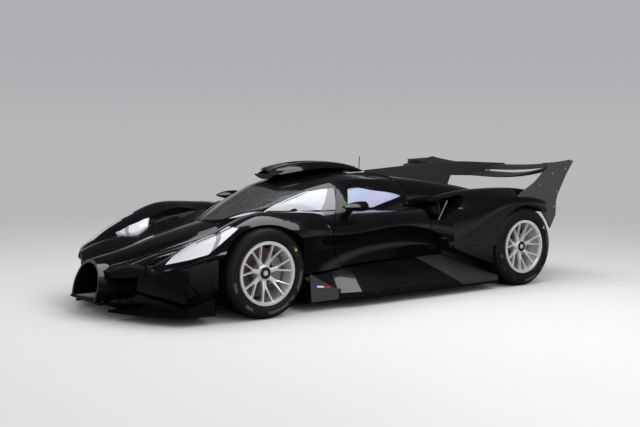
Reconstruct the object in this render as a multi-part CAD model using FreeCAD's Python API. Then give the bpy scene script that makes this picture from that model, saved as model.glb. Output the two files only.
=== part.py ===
"""Track-only mid-engined two-seat hypercar, as separate panels and running gear.

Millimetres. +X forward, +Y to the car's left, +Z up. The origin is on the ground, midway
along the car's length and width. Every panel is built on the left and mirrored to the right.
"""

import FreeCAD, Part

import math
import os

from FreeCAD import Placement, Rotation, Vector

# Driving dimensions of the whole car
WHEELBASE = 2750.0
FRONT_AXLE_X = 1335.0
REAR_AXLE_X = FRONT_AXLE_X - WHEELBASE
NOSE_X = 2375.0
TAIL_X = -2375.0
GROUND_CLEARANCE = 62.0
PANEL_GAP = 6.0

# Wheels and tyres
FRONT_TYRE_R = 340.0
FRONT_TYRE_W = 300.0
REAR_TYRE_R = 355.0
REAR_TYRE_W = 370.0
RIM_R = 238.0
FRONT_WHEEL_Y = 820.0
REAR_WHEEL_Y = 800.0
SPOKES = 7
SPOKE_FORK = 9.5
DISC_R = 190.0
DISC_THICK = 34.0
AXLE_R = 24.0

# Front wheel arch, an ellipse wide enough for the steered tyre
ARCH_HALF_LENGTH = 404.0
ARCH_HEIGHT = 360.0
REAR_ARCH_R = 378.0
KINGPIN_Y = 735.0
DISC_Y = 789.0

# Cabin
CABIN_SKIRT_Z = 622.0
SKIN = 24.0
DOOR_FRONT_X = 745.0
ROOF_HALF = 400.0
SEAT_Y = 255.0


def run(points):
    """One edge: a straight line through two points, or else a smooth curve."""
    vectors = [Vector(*p) for p in points]
    if len(vectors) == 2:
        return Part.LineSegment(vectors[0], vectors[1]).toShape()
    curve = Part.BSplineCurve()
    curve.interpolate(vectors)
    return curve.toShape()


def wire(runs):
    """A closed outline from runs that meet end to end."""
    return Part.Wire([run(points) for points in runs])


def loft(sections, ruled=False):
    """A solid through closed sections that have the same number of runs."""
    return Part.makeLoft([wire(s) for s in sections], True, ruled)


def polygon(points):
    """A flat face with straight edges."""
    vectors = [Vector(*p) for p in points]
    return Part.Face(Part.makePolygon(vectors + vectors[:1]))


def side_prism(outline, y_low, y_high):
    """A plate with the given (x, z) outline, between two y planes."""
    face = polygon([(x, y_low, z) for x, z in outline])
    return face.extrude(Vector(0, y_high - y_low, 0))


def plan_prism(outline, z_low, z_high):
    """A plate with the given (x, y) outline, between two heights."""
    face = polygon([(x, y, z_low) for x, y in outline])
    return face.extrude(Vector(0, 0, z_high - z_low))


def block(x0, x1, y0, y1, z0, z1):
    """A box from its corners."""
    return Part.makeBox(x1 - x0, y1 - y0, z1 - z0, Vector(x0, y0, z0))


def rod(start, end, radius):
    """A round bar between two points."""
    start, end = Vector(*start), Vector(*end)
    return Part.makeCylinder(radius, (end - start).Length, start, end - start)


def mirrored(shape):
    """The same shape on the other side of the car."""
    return shape.mirror(Vector(0, 0, 0), Vector(0, 1, 0))


def both_sides(*shapes):
    """Left shapes and their right-hand twins, as solids that don't touch."""
    return Part.makeCompound([s for shape in shapes for s in (shape, mirrored(shape))])


def save(name, shape):
    """Write one named piece."""
    shape.exportStep(f"parts/{name}.step")


def front_arch():
    """The space of both front wheels with their steering lock."""
    ellipse = Part.Ellipse(Vector(0, 0, 0), ARCH_HALF_LENGTH, ARCH_HEIGHT)
    face = Part.Face(Part.Wire(ellipse.toShape()))
    void = face.extrude(Vector(0, 0, 1100 - FENDER_INNER_Y - 12))
    void.Placement = Placement(Vector(FRONT_AXLE_X, 1100, FRONT_TYRE_R), Rotation(Vector(1, 0, 0), 90))
    return void


def rear_arch():
    """The space of the left rear wheel."""
    return Part.makeCylinder(REAR_ARCH_R, 520, Vector(REAR_AXLE_X, 590, REAR_TYRE_R), Vector(0, 1, 0))


# Floor and splitter

def floor_and_splitter():
    """Flat carbon floor, raised in the middle of the front lip."""
    half = [(2360, 0), (2345, 200), (2177, 632), (2000, 885), (1745, 900), (1700, 560), (960, 560),
            (930, 880), (610, 925), (470, 965), (-1080, 972), (-1100, 560), (-1240, 560)]
    outline = half + [(x, -y) for x, y in reversed(half) if y]
    plate = plan_prism(outline, GROUND_CLEARANCE, GROUND_CLEARANCE + 18)
    raised = side_prism([(2000, 40), (2400, 40), (2400, 112), (2135, GROUND_CLEARANCE)], -300, 300)
    lip = side_prism([(1960, 66), (2345, 112), (2372, 116), (2360, 132), (1960, 84)], -260, 260)
    plate = plate.cut(raised).fuse(lip)
    return plate.fuse(winglet()).fuse(mirrored(winglet())).removeSplitter()


# Nose with its horseshoe opening

def horseshoe(grow, x_low, x_high):
    """The upright rounded opening, as a prism that leans back with the nose."""
    def at(x, y, z):
        return (x - 0.25 * (z - 130), y, z)
    half_low, half_mid, half_top = 178 + grow, 205 + grow, 150 + grow
    low, top = 128 - grow, 398 + grow
    side = [(-half_low, low), (-half_mid, 235), (-half_top, 345), (0, top),
            (half_top, 345), (half_mid, 235), (half_low, low)]
    edges = [run([at(x_low, y, z) for y, z in side]),
             run([at(x_low, half_low, low), at(x_low, -half_low, low)])]
    return Part.Face(Part.Wire(edges)).extrude(Vector(x_high - x_low, 0, 0))


def nose():
    """Short central nose: a tall ring around the horseshoe opening."""
    ring = horseshoe(26, 2060, NOSE_X - 2)
    inside = horseshoe(0, 2110, NOSE_X + 40)
    return ring.cut(inside).cut(block(1900, 2450, -300, 300, 0, 134))


def nose_grille():
    """Mesh behind the horseshoe: slanted bars both ways, trimmed to the opening."""
    bars = []
    for i in range(-11, 12):
        y = 38 * i
        for lean in (-160, 160):
            foot = [(2140, y - lean, 120), (2140, y - lean + 5, 120), (2072, y + lean + 5, 400),
                    (2072, y + lean, 400)]
            bars.append(polygon(foot).extrude(Vector(9, 0, 0)))
    frame = horseshoe(-2, 2128, 2142).cut(horseshoe(-10, 2120, 2150))
    mesh = bars[0].multiFuse(bars[1:]).common(horseshoe(-4, 2080, 2180))
    radiator = block(1740, 1790, -550, 550, 96, 400)
    return Part.makeCompound([mesh.fuse(frame), radiator])


TOW_EYE = Vector(2270, 128, 209)
TOW_EYE_R = 38.0
TOW_EYE_RING = 16.0
TOW_EYE_THICK = 12.0
TOW_EYE_FOOT_Z = 122.0


def tow_eye():
    """Red towing ring inside the horseshoe, facing forward, on a short foot."""
    start = TOW_EYE - Vector(TOW_EYE_THICK / 2, 0, 0)
    forward = Vector(1, 0, 0)
    ring = Part.makeCylinder(TOW_EYE_R + TOW_EYE_RING, TOW_EYE_THICK, start, forward)
    foot = block(start.x, start.x + TOW_EYE_THICK, TOW_EYE.y - 20, TOW_EYE.y + 20, TOW_EYE_FOOT_Z, TOW_EYE.z)
    return ring.fuse(foot).cut(Part.makeCylinder(TOW_EYE_R, TOW_EYE_THICK, start, forward))


# Bonnet: the central spine and the two valleys beside it

BONNET_STATIONS = [
    # x, crown height, crown half width, valley height, outer height
    (2290, 422, 95, 366, 330),
    (2150, 452, 110, 404, 382),
    (2000, 486, 135, 444, 450),
    (1811, 540, 175, 484, 512),
    (1620, 592, 215, 526, 580),
    (1452, 632, 230, 573, 638),
    (1290, 668, 200, 615, 672),
]
BONNET_HALF = 581.0
BONNET_LIP = [(2290, 150), (2262, 235), (2205, 430), (2140, BONNET_HALF)]


def bonnet_plan():
    """Plan of the bonnet, with its lip swept back at both sides."""
    right_lip = [(x, -y) for x, y in BONNET_LIP]
    rear = BONNET_STATIONS[-1][0]
    runs = [[right_lip[0], BONNET_LIP[0]], BONNET_LIP, [BONNET_LIP[-1], (rear, BONNET_HALF)],
            [(rear, BONNET_HALF), (rear, -BONNET_HALF)], [(rear, -BONNET_HALF), right_lip[-1]], right_lip[::-1]]
    outline = wire([[(x, y, 250) for x, y in points] for points in runs])
    return Part.Face(outline).extrude(Vector(0, 0, 450))


def bonnet():
    """One panel from the horseshoe to the foot of the windscreen."""
    sections = []
    outer = BONNET_HALF + 20
    for x, crown, half, valley, edge in BONNET_STATIONS:
        base = min(edge - 40, valley - 60)
        mid = half + 0.45 * (outer - half)
        left = [(x, half, crown - 22), (x, half + 40, crown - 60), (x, mid, valley), (x, outer, edge)]
        crown_run = [(x, -half, crown - 22), (x, -half / 2, crown - 3), (x, half / 2, crown - 3),
                     (x, half, crown - 22)]
        right = [(p[0], -p[1], p[2]) for p in reversed(left)]
        sections.append([crown_run, left, [left[-1], (x, outer, base)], [(x, outer, base), (x, -outer, base)],
                         [(x, -outer, base), right[0]], right])
    shape = loft(sections).common(bonnet_plan()).cut(horseshoe(28, 2040, NOSE_X + 40))
    return shape.cut(cabin_form(-2)).cut(tub_space(4))


# Front fenders

FENDER_INNER_Y = 585.0
FENDER_STATIONS = [
    # x, crest height, crest y, outer y, shoulder drop, inner height, foot height
    (2134, 408, 620, 660, 22, 394, 348),
    (2078, 436, 666, 775, 30, 422, 378),
    (2028, 462, 688, 838, 36, 444, 404),
    (1985, 486, 703, 866, 44, 462, 415),
    (1900, 541, 716, 900, 60, 494, 440),
    (1811, 588, 732, 926, 74, 530, 462),
    (1740, 617, 755, 946, 86, 560, 476),
    (1650, 654, 785, 966, 99, 604, 470),
    (1500, 722, 800, 985, 115, 672, 440),
    (1347, 770, 800, 990, 125, 722, 400),
    (1170, 778, 795, 992, 127, 728, 380),
    (960, 767, 791, 989, 124, 715, 340),
    (DOOR_FRONT_X + PANEL_GAP, 748, 770, 980, 120, 690, 340),
]


def fender_form(inset):
    """Form of a front fender, or its inside with an inset."""
    sections = []
    inner = FENDER_INNER_Y + inset
    for x, crest, crest_y, outer, drop, inner_z, foot in FENDER_STATIONS:
        crest -= inset
        outer -= inset
        inner_z -= inset
        shoulder = crest - drop
        tuck = 0.18 * drop
        middle = (x, crest_y - 0.45 * (crest_y - inner), crest - 0.26 * (crest - inner_z))
        top = [(x, inner, inner_z), middle, (x, crest_y, crest), (x, outer - tuck, shoulder)]
        side = [top[-1], (x, outer, shoulder - 0.45 * (shoulder - foot)), (x, outer - 0.5 * tuck, foot)]
        sections.append([top, side, [side[-1], (x, inner, foot)], [(x, inner, foot), top[0]]])
    return loft(sections)


LAMP_DEPTH = 14.0
LAMP_Y = 850.0
LAMP_VIEW = Vector(-0.4785, -0.8705, -0.1151)
LAMP_OUTLINE = [(2121, 454), (2051, 519), (1918, 588), (1808, 633), (1695, 652), (1616, 702), (1523, 674),
                (1670, 572), (1775, 503), (1919, 476)]


def lamp_zone():
    """Outline of the head lamp, seen slantwise from the front left."""
    face = polygon([(x, LAMP_Y, z) for x, z in LAMP_OUTLINE])
    face.translate(LAMP_VIEW * -180)
    crest = [(x, crest_y) for x, _, crest_y, *_ in FENDER_STATIONS[:9]]
    outside = plan_prism(crest + [(1500, 1100), (2120, 1100)], 300, 800)
    return face.extrude(LAMP_VIEW * 350).common(outside)


def headlamp():
    """Long curved lens let into the outer face of the fender."""
    return fender_form(0).cut(fender_form(LAMP_DEPTH)).common(lamp_zone())


def deflector():
    """Curved side between the front wheel and the door, below the fender's crease."""
    low_x, low_z = DOOR_FOOT
    fender_end = FENDER_STATIONS[-1][0]
    zone = side_prism([(1050, 596), (fender_end, 596), (fender_end, 800), (430, 800), (430, 600),
                       (low_x + 8, low_z), (low_x + 8, 240), (1050, 240)], 500, 1100)
    return side_form().common(zone).cut(door_zone(-PANEL_GAP / 2))


COWL_STATIONS = [
    # x, inner y, its height, middle y, its height, outer y, its height
    (1284, 200, 640, 380, 614, 592, 670),
    (1126, 240, 688, 430, 672, 592, 697),
    (968, 320, 706, 480, 700, 592, 708),
    (810, 400, 713, 520, 712, 592, 712),
    (652, 450, 722, 560, 724, 665, 730),
    (494, 480, 731, 580, 733, 665, 739),
]
COWL_THICK = 30.0


def cowl():
    """Shelf between the foot of the side windows and the fender."""
    sections = []
    for x, y_in, z_in, y_mid, z_mid, y_out, z_out in COWL_STATIONS:
        top = [(x, y_in, z_in), (x, y_mid, z_mid), (x, y_out, z_out)]
        under = [(x, y, z - COWL_THICK) for _, y, z in reversed(top)]
        sections.append([top, [top[-1], under[0]], under, [under[-1], top[0]]])
    return loft(sections).cut(door_zone(-PANEL_GAP / 2))


def front_fender():
    """Tall fender crest over the front wheel, open below for the steered tyre."""
    shape = fender_form(0).cut(below_crease()).fuse(deflector()).fuse(cowl()).fuse(front_corner())
    for vane in front_vanes():
        shape = shape.fuse(vane)
    arms = block(950, 1725, 500, 610, 90, 500)
    return shape.cut(headlamp()).cut(front_arch()).cut(cabin_form(-2)).cut(tub_space(4)).cut(arms)


def below_crease():
    """The space below the fender's tail, which the curved side fills."""
    return side_prism([(1060, 100), (1060, 590), (DOOR_FRONT_X - 10, 590), (DOOR_FRONT_X - 10, 100)], 560, 1100)


def front_corner():
    """Bulkhead ahead of the front wheel, with the ledge on the splitter."""
    wall = plan_prism([(1810, 586), (1810, 810), (1745, 850), (1745, 586)], 100, 480)
    under = side_prism([(2140, 372), (1985, 425), (1900, 450), (1811, 472), (1745, 486), (1745, 90),
                        (2140, 90)], 560, 1100)
    ledge = side_prism([(1990, 82), (1990, 110), (1745, 190), (1745, 82)], 700, 890)
    plan = plan_prism([(1990, 740), (1860, 800), (1745, 850), (1745, 888), (1950, 860)], 60, 300)
    return wall.common(under).fuse(ledge.common(plan))


VANE_THICK = 10.0
VANES = [
    # y at x 2000, change of y along x, outline in x and z
    (806, -0.571, [(2112, 359), (2100, 385), (1980, 440), (1982, 383), (1874, 216), (1951, 198)]),
    (836, -0.471, [(1994, 387), (1985, 415), (1820, 470), (1820, 397), (1787, 249), (1872, 230)]),
    (872, -0.318, [(1824, 387), (1820, 455), (1746, 475), (1746, 252), (1781, 249)]),
]


def front_vanes():
    """Three slanted blades under the lamp that step back towards the wheel."""
    blades = []
    for y_ref, slope, outline in VANES:
        face = polygon([(x, y_ref + slope * (x - 2000), z) for x, z in outline])
        inward = Vector(slope, -1, 0).normalize()
        blade = face.extrude(inward * VANE_THICK)
        blade.translate(inward * VANE_THICK)
        blades.append(blade)
    return blades


def winglet():
    """Small striped fin behind the front wheel."""
    return side_prism([(936, 300), (701, 172), (640, 158), (640, 80), (920, 80)], 915, 933)


# Cabin

CABIN_STATIONS = [
    # x, centre height, half width at the foot, foot height, half width at the cant, cant height
    (1345, 660, 120, 640, 70, 652),
    (1180, 762, 290, 688, 170, 728),
    (1000, 860, 400, 733, 290, 790),
    (800, 952, 505, 735, 375, 858),
    (600, 1000, 590, 735, 425, 918),
    (300, 1034, 650, 737, 455, 975),
    (0, 1040, 640, 745, 450, 985),
    (-340, 1020, 620, 775, 430, 968),
]
ROOF_CROWN = 0.33


def cabin_form(inset):
    """Teardrop form of the glasshouse, or its inside with an inset."""
    sections = []
    last = len(CABIN_STATIONS) - 1
    for i, (x, top, foot_y, foot_z, cant_y, cant_z) in enumerate(CABIN_STATIONS):
        if i == 0:
            x -= inset
        if i == last:
            x += inset
        y0, y1 = foot_y - inset, cant_y - 0.7 * inset
        z1, z2 = cant_z - 0.7 * inset, top - inset
        base = foot_z - 260 - inset
        mid = (x, (y0 + y1) / 2 + 16, (foot_z + z1) / 2 + 6)
        left = [(x, y0, foot_z - 20), mid, (x, y1, z1)]
        side_z = z2 - ROOF_CROWN * (z2 - z1)
        roof = [(x, y1, z1), (x, y1 * 0.5, side_z), (x, 0, z2), (x, -y1 * 0.5, side_z), (x, -y1, z1)]
        right = [(p[0], -p[1], p[2]) for p in reversed(left)]
        sections.append([left, roof, right, [right[-1], (x, -y0, base)], [(x, -y0, base), (x, y0, base)],
                         [(x, y0, base), left[0]]])
    return loft(sections)


def cabin_shell():
    """Walls of the glasshouse, one skin thick and open below."""
    form = cabin_form(0).common(block(-500, 1500, -800, 800, CABIN_SKIRT_Z, 1300))
    return form.cut(cabin_form(SKIN))


def windscreen_zone():
    """Room of the windscreen between the two thin pillars, from the cowl to the roof's edge."""
    half = [(1500, 160), (1330, 160), (1180, 300), (1046, 385), (596, 455), (800, 255)]
    plan = plan_prism(half + [(850, 0)] + [(x, -y) for x, y in reversed(half)], 600, 1100)
    above_cowl = side_prism([(1500, 640), (1345, 668), (1180, 700), (1040, 742), (560, 742), (560, 1100),
                             (1500, 1100)], -700, 700)
    return plan.common(above_cowl)


def quarter_zone():
    """Side outline of the long fixed window ahead of the door."""
    return side_prism([(1010, 752), (590, 902), (480, 918), (388, 922), (452, 752)], 300, 700)


DOOR_FRONT_SLANT = 0.79
DOOR_REAR_SLANT = 0.36
DOOR_SKIN_Y = 930.0
DOOR_FOOT = (500, 314)
DOOR_FOOT_SLOPE = -0.025


def door_zone(gap):
    """Room of a door, shrunk by a gap. Both its end faces run slantwise, so that it swings clear."""
    front = DOOR_FRONT_X - gap
    skin_y, far_y = 985, 1100
    ahead_plan = plan_prism([(front + DOOR_FRONT_SLANT * (far_y - skin_y), far_y),
                             (front - DOOR_FRONT_SLANT * (skin_y - 300), 300), (1300, 300),
                             (1300, far_y)], 200, 1200)
    low_x, low_z = DOOR_FOOT
    rear_z = low_z + DOOR_FOOT_SLOPE * (-700 - low_x)
    ahead = side_prism([(front, 1100), (front, 590 - gap), (low_x - gap, low_z + gap), (-700, rear_z + gap),
                        (-700, 1100)], 300, 1100)
    shift = DOOR_REAR_SLANT * (DOOR_SKIN_Y - 300) + gap
    rear = [(900, 300), (-300, 300), (-300, 655), (-320, 690), (-434, 775), (-483, 1110), (900, 1110)]
    face = polygon([(x + shift, 300, z) for x, z in rear])
    return ahead.cut(ahead_plan).common(face.extrude(Vector(-800 * DOOR_REAR_SLANT, 800, 0)))


def door_glass_zone():
    """Side outline of the window in a door."""
    outline = [(345, 756), (268, 905), (240, 916), (40, 926), (-300, 842), (-80, 792), (60, 756)]
    return side_prism(outline, 380, 760)


SIDE_STATIONS = [
    # x, shoulder y, shoulder height, crease y, crease height, hollow y, shelf y, shelf height
    (1080, 945, 705, 988, 600, 900, 850, 275),
    (960, 940, 700, 985, 600, 870, 820, 280),
    (DOOR_FRONT_X, 925, 690, 982, 590, 820, 800, 290),
    (300, 905, 700, 965, 607, 735, 770, 315),
    (-35, 895, 705, 950, 619, 715, 765, 325),
    (-300, 890, 690, 945, 570, 715, 770, 330),
    (-560, 900, 660, 950, 450, 760, 790, 338),
]


def side_form():
    """Body side below the window: shoulder, crease and the deep hollow under it."""
    sections = []
    for x, sh_y, sh_z, cr_y, cr_z, ho_y, sf_y, sf_z in SIDE_STATIONS:
        mid_z = (cr_z + sf_z) / 2
        sections.append([[(x, 640, 745), (x, 0.5 * (640 + sh_y), 738), (x, sh_y, sh_z), (x, cr_y, cr_z)],
                         [(x, cr_y, cr_z), (x, ho_y, mid_z), (x, sf_y, sf_z)],
                         [(x, sf_y, sf_z), (x, 640, sf_z)], [(x, 640, sf_z), (x, 640, 745)]])
    return loft(sections)


SILL_STATIONS = [
    # x, inner y of the slope, its height, outer y
    (925, 850, 262, 868),
    (640, 815, 282, 908),
    (450, 800, 302, 962),
    (0, 765, 316, 975),
    (-560, 785, 330, 980),
    (-1075, 860, 145, 976),
]


def sills():
    """Lower side blades from behind the front wheel to the rear wheel."""
    low, edge = GROUND_CLEARANCE + 20, 122
    sections = []
    for x, y_in, top, y_out in SILL_STATIONS:
        sections.append([[(x, 640, low), (x, y_out, low)], [(x, y_out, low), (x, y_out, edge)],
                         [(x, y_out, edge), (x, y_in, top)], [(x, y_in, top), (x, 640, top)],
                         [(x, 640, top), (x, 640, low)]])
    return loft(sections, True).cut(rear_arch()).cut(rear_fender_front())


# Rear fenders

REAR_STATIONS = [
    # x, crest height, crest y, outer y, inner y, inner height, shoulder height
    (-470, 800, 690, 905, 560, 800, 425),
    (-600, 835, 700, 935, 560, 815, 440),
    (-850, 872, 740, 975, 560, 800, 560),
    (-1100, 884, 775, 992, 560, 770, 700),
    (-1340, 882, 790, 998, 560, 720, 750),
    (-1600, 860, 790, 996, 580, 660, 720),
    (-1690, 845, 790, 990, 600, 640, 690),
]


def rear_fender():
    """Broad fender from behind the door to the wing plates, open over the rear wheel."""
    sections = []
    foot = 400
    for x, crest, crest_y, outer, inner, inner_z, shoulder in REAR_STATIONS:
        brow_y, brow_z = crest_y + 120, crest - 50
        flank = (x, outer - 0.3 * (outer - brow_y), brow_z - 0.4 * (brow_z - shoulder))
        top = [(x, inner, inner_z), (x, crest_y - 90, crest - 14), (x, crest_y + 20, crest - 2),
               (x, brow_y, brow_z), flank, (x, outer, shoulder)]
        sections.append([top, [(x, outer, shoulder), (x, outer, foot)], [(x, outer, foot), (x, inner, foot)],
                         [(x, inner, foot), (x, inner, inner_z)]])
    body = loft(sections)
    below = side_prism([(-470, 300), (-470, 640), (-545, 400), (-1090, 190), (-1090, 300)], 500, 1100)
    behind = side_prism([(-1420, 735), (-1575, 705), (-1640, 660), (-1800, 640), (-1800, 300), (-1300, 300)],
                        500, 1100)
    return body.cut(rear_arch()).cut(below).cut(behind)


def rear_fender_front():
    """Panel ahead of the rear tyre, down to the sill."""
    outline = [(-560, 405), (-600, 384), (-1090, 208), (-1090, 420), (-560, 420)]
    above_sill = side_prism([(-560, 420), (-560, 334), (-1090, 144), (-1090, 420)], 700, 800)
    return side_prism(outline, 700, 950).fuse(above_sill).cut(rear_arch())


def rear_fenders():
    """Both rear fenders, cleared for the doors, the wing plates and the engine cover."""
    flank = side_form().common(block(-560, -150, 600, 1100, 250, 760)).cut(door_zone(-PANEL_GAP / 2))
    shape = rear_fender().fuse(flank).fuse(rear_fender_front()).cut(side_intake())
    shape = shape.cut(door_zone(-PANEL_GAP)).cut(endplate()).cut(rear_deck()).cut(cabin_form(0))
    return both_sides(shape.fuse(intake_fin()))


INTAKE_MOUTH = [(-180, 790), (-440, 788), (-600, 820), (-735, 844), (-785, 830), (-700, 742), (-470, 640),
                (-180, 652)]
INTAKE_SKIN_Y = 880.0
INTAKE_WALL_Y = 600.0
INTAKE_RISE = 0.085


def side_intake():
    """Air intake behind the door. It falls a little inwards, so that the skin above stays whole."""
    drop = INTAKE_RISE * (INTAKE_SKIN_Y - INTAKE_WALL_Y)
    face = polygon([(x, INTAKE_WALL_Y, z - drop) for x, z in INTAKE_MOUTH])
    depth = 1100 - INTAKE_WALL_Y
    return face.extrude(Vector(0, depth, INTAKE_RISE * depth))


def intake_fin():
    """Thin slanted fin in the intake."""
    fin = side_prism([(-548, 850), (-564, 850), (-452, 625), (-438, 625)], INTAKE_WALL_Y - 4, 870)
    return fin.common(rear_fender())


# Engine cover, fin and wing

DECK_STATIONS = [
    # x, centre height, half width, edge height
    (-350, 1018, 555, 740),
    (-480, 1004, 555, 760),
    (-765, 965, 555, 775),
    (-1105, 912, 555, 735),
    (-1400, 852, 555, 660),
    (-1520, 800, 555, 620),
]


def rear_deck():
    """Engine cover from the cabin to behind the rear axle."""
    sections = []
    for x, top, half, edge in DECK_STATIONS:
        left = [(x, half, edge), (x, half * 0.86, edge + 0.72 * (top - edge)), (x, half * 0.4, top - 12),
                (x, 0, top), (x, -half * 0.4, top - 12), (x, -half * 0.86, edge + 0.72 * (top - edge)),
                (x, -half, edge)]
        sections.append([left, [(x, -half, edge), (x, -half, edge - 60)],
                         [(x, -half, edge - 60), (x, half, edge - 60)],
                         [(x, half, edge - 60), (x, half, edge)]])
    return loft(sections).cut(tub_space(4))


def dorsal_fin():
    """Centre fin that carries the middle of the wing."""
    outline = [(-352, 1040), (-1205, 1098), (-1600, 1102), (-2184, 1077), (-2184, 1062), (-2060, 1045),
               (-1900, 992), (-1660, 968), (-1420, 972), (-1370, 862), (-1000, 930), (-600, 985), (-352, 1012)]
    return side_prism(outline, -13, 13).cut(rear_deck()).cut(wing_main()).cut(wing_flap())


def wing_element(chord_x, chord, thick, heights, tilt):
    """One element of the wing, lofted through aerofoil sections across the car."""
    sections = []
    for y, z in heights:
        lead, trail = chord_x, chord_x - chord
        rise = chord * math.tan(math.radians(tilt))
        top = [(lead, y, z), (lead - 0.3 * chord, y, z + 0.25 * rise + thick * 0.55),
               (trail, y, z + rise + 3)]
        low = [(trail, y, z + rise + 3), (trail, y, z + rise)]
        under = [(trail, y, z + rise), (lead - 0.4 * chord, y, z + 0.2 * rise - thick * 0.6), (lead, y, z)]
        sections.append([top, low, under])
    return loft(sections)


WING_HALF = 945.0


def wing_main():
    """Main element: low in the middle, curved up to the end plates."""
    heights = [(-WING_HALF, 1044), (-760, 1000), (-560, 972), (-280, 962), (0, 968),
               (280, 962), (560, 972), (760, 1000), (WING_HALF, 1044)]
    return wing_element(-1630, 300, 26, heights, 6)


def wing_flap():
    """Upper element behind the slot."""
    heights = [(-WING_HALF, 1083), (-560, 1034), (-200, 1020), (0, 1020), (200, 1020), (560, 1034),
               (WING_HALF, 1083)]
    return wing_element(-1890, 180, 16, heights, 14)


def endplate():
    """Tall side plate of the wing, joined to the rear fender."""
    outline = [(-1246, 739), (-1393, 846), (-1558, 930), (-1664, 1011), (-1727, 1051), (-1719, 1105),
               (-2090, 1122), (-1986, 990), (-1871, 807), (-1852, 752), (-1849, 622), (-1776, 504),
               (-1742, 564), (-1669, 652), (-1573, 710), (-1449, 740), (-1314, 721)]
    return side_prism(outline, WING_HALF + 2, WING_HALF + 18)


# Tail

def diffuser():
    """Rising floor behind the rear axle with upright strakes."""
    ramp = side_prism([(-1240, 62), (-1240, 80), (-1700, 150), (-2250, 330), (TAIL_X + 5, 372),
                       (TAIL_X + 5, 352), (-2250, 312), (-1700, 132)], -330, 330)
    wings = side_prism([(-1800, 165), (-2130, 300), (-2130, 282), (-1800, 147)], 330, 600)
    strakes = []
    for y in (-330, -165, 0, 165, 330):
        tail = TAIL_X + 40
        outline = [(-1500, 98), (-1500, 110), (-1700, 150), (tail, 350), (tail, 190)]
        strakes.append(side_prism(outline, y - 5, y + 5))
    shape = ramp.fuse(wings).fuse(mirrored(wings))
    for strake in strakes:
        shape = shape.fuse(strake)
    return shape.removeSplitter()


def tail_panel():
    """Rear crossbody that carries the lamps and the exhaust pipes."""
    half = [(-2100, 0), (-2080, 330), (-1950, 560), (-1930, 590)]
    inner = [(x + 36, y) for x, y in half]
    right = [(x, -y) for x, y in reversed(half[1:])]
    inner_right = [(x, -y) for x, y in inner[1:]]
    panel = plan_prism(right + half + list(reversed(inner)) + inner_right, 380, 560)
    for y, z in EXHAUSTS:
        panel = panel.cut(Part.makeCylinder(58, 300, Vector(-2250, y, z), Vector(1, 0, 0)))
    return panel


EXHAUSTS = [(-75, 470), (75, 470)]


def exhausts():
    """Tail pipes, open at the back."""
    pipes = []
    for y, z in EXHAUSTS:
        outer = Part.makeCylinder(52, 245, Vector(-2150, y, z), Vector(1, 0, 0))
        bore = Part.makeCylinder(47, 230, Vector(-2151, y, z), Vector(1, 0, 0))
        pipes.append(outer.cut(bore))
    return Part.makeCompound(pipes)


def tail_lamps():
    """Slanted light bars, two on each side."""
    bars = []
    for z0, z1 in ((430, 545), (510, 395)):
        bar = polygon([(-2100, 180, z0), (-2100, 180, z0 - 14), (-1956, 545, z1 - 14), (-1956, 545, z1)])
        bars.append(bar.extrude(Vector(-20, 0, 0)).cut(tail_panel()))
    return bars


# Cockpit

TUB_HALF = 548.0
TUB_OUTLINE = [(1660, 84), (1660, 330), (1430, 500), (1180, 600), (760, 610), (300, 560), (-300, 560),
               (-350, 636), (-470, 636), (-470, 84)]


def tub_space(grow):
    """The room that the tub takes, with a little around it."""
    centre_x, centre_z = 595, 350
    grown = [(x + math.copysign(grow, x - centre_x), z + math.copysign(grow, z - centre_z))
             for x, z in TUB_OUTLINE]
    return side_prism(grown, -TUB_HALF - grow, TUB_HALF + grow)


def cockpit_tub():
    """Hollow two-seat tub: floor, side walls and the bulkheads at both ends."""
    inside = [(1600, 124), (1600, 300), (1400, 450), (1180, 545), (1180, 700), (-400, 700), (-400, 300),
              (-360, 124)]
    return tub_space(0).cut(side_prism(inside, -TUB_HALF + 40, TUB_HALF - 40))


def seat(y):
    """One bucket seat with raised sides."""
    outline = [(560, 130), (560, 235), (470, 262), (140, 205), (60, 260), (-170, 700), (-235, 860),
               (-300, 850), (-290, 700), (-120, 330), (0, 130)]
    hollow = [(600, 300), (480, 275), (150, 232), (90, 275), (-140, 720), (-190, 880), (-100, 900), (600, 700)]
    shell = side_prism(outline, y - 225, y + 225)
    wings = side_prism([(540, 225), (520, 330), (200, 330), (20, 520), (-110, 760), (-190, 750),
                        (40, 250), (140, 205)], y - 225, y + 225)
    wings = wings.cut(block(-400, 700, y - 185, y + 185, 100, 1000))
    return shell.cut(side_prism(hollow, y - 185, y + 185)).fuse(wings)


def dashboard():
    """Full-width instrument panel with a cowl over the wheel."""
    outline = [(1080, 560), (1110, 640), (1040, 690), (940, 676), (925, 640), (960, 560)]
    cowl_room = cabin_form(SKIN + 4)
    return side_prism(outline, -500, 500).common(cowl_room).cut(rod(COLUMN_START, COLUMN_END, 24.5))


COLUMN_START = (822, SEAT_Y, 632)
COLUMN_END = (938, SEAT_Y, 588)


def steering_wheel():
    """Squared racing wheel on its column."""
    centre = Vector(800, SEAT_Y, 640)
    profile = [(-140, -60), (-115, -85), (115, -85), (140, -60), (140, 60), (115, 80), (-115, 80), (-140, 60)]
    hole = [(-118, -30), (-60, -40), (-60, 45), (-118, 40)]
    rim = polygon([(0, y, z) for y, z in profile]).extrude(Vector(26, 0, 0))
    for sign in (-1, 1):
        rim = rim.cut(polygon([(-5, sign * y, z) for y, z in hole]).extrude(Vector(40, 0, 0)))
    rim.Placement = Placement(centre, Rotation(Vector(0, 1, 0), -22))
    column = rod(COLUMN_START, COLUMN_END, 24)
    return rim.fuse(column)


# Engine and running gear

def engine():
    """Engine and gearbox as plain blocks behind the tub."""
    return block(-1130, -500, -260, 260, 120, 640).fuse(block(-1900, -1130, -150, 150, 250, 470))


BALL_UPPER = 98.0
BALL_LOWER = -118.0


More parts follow.
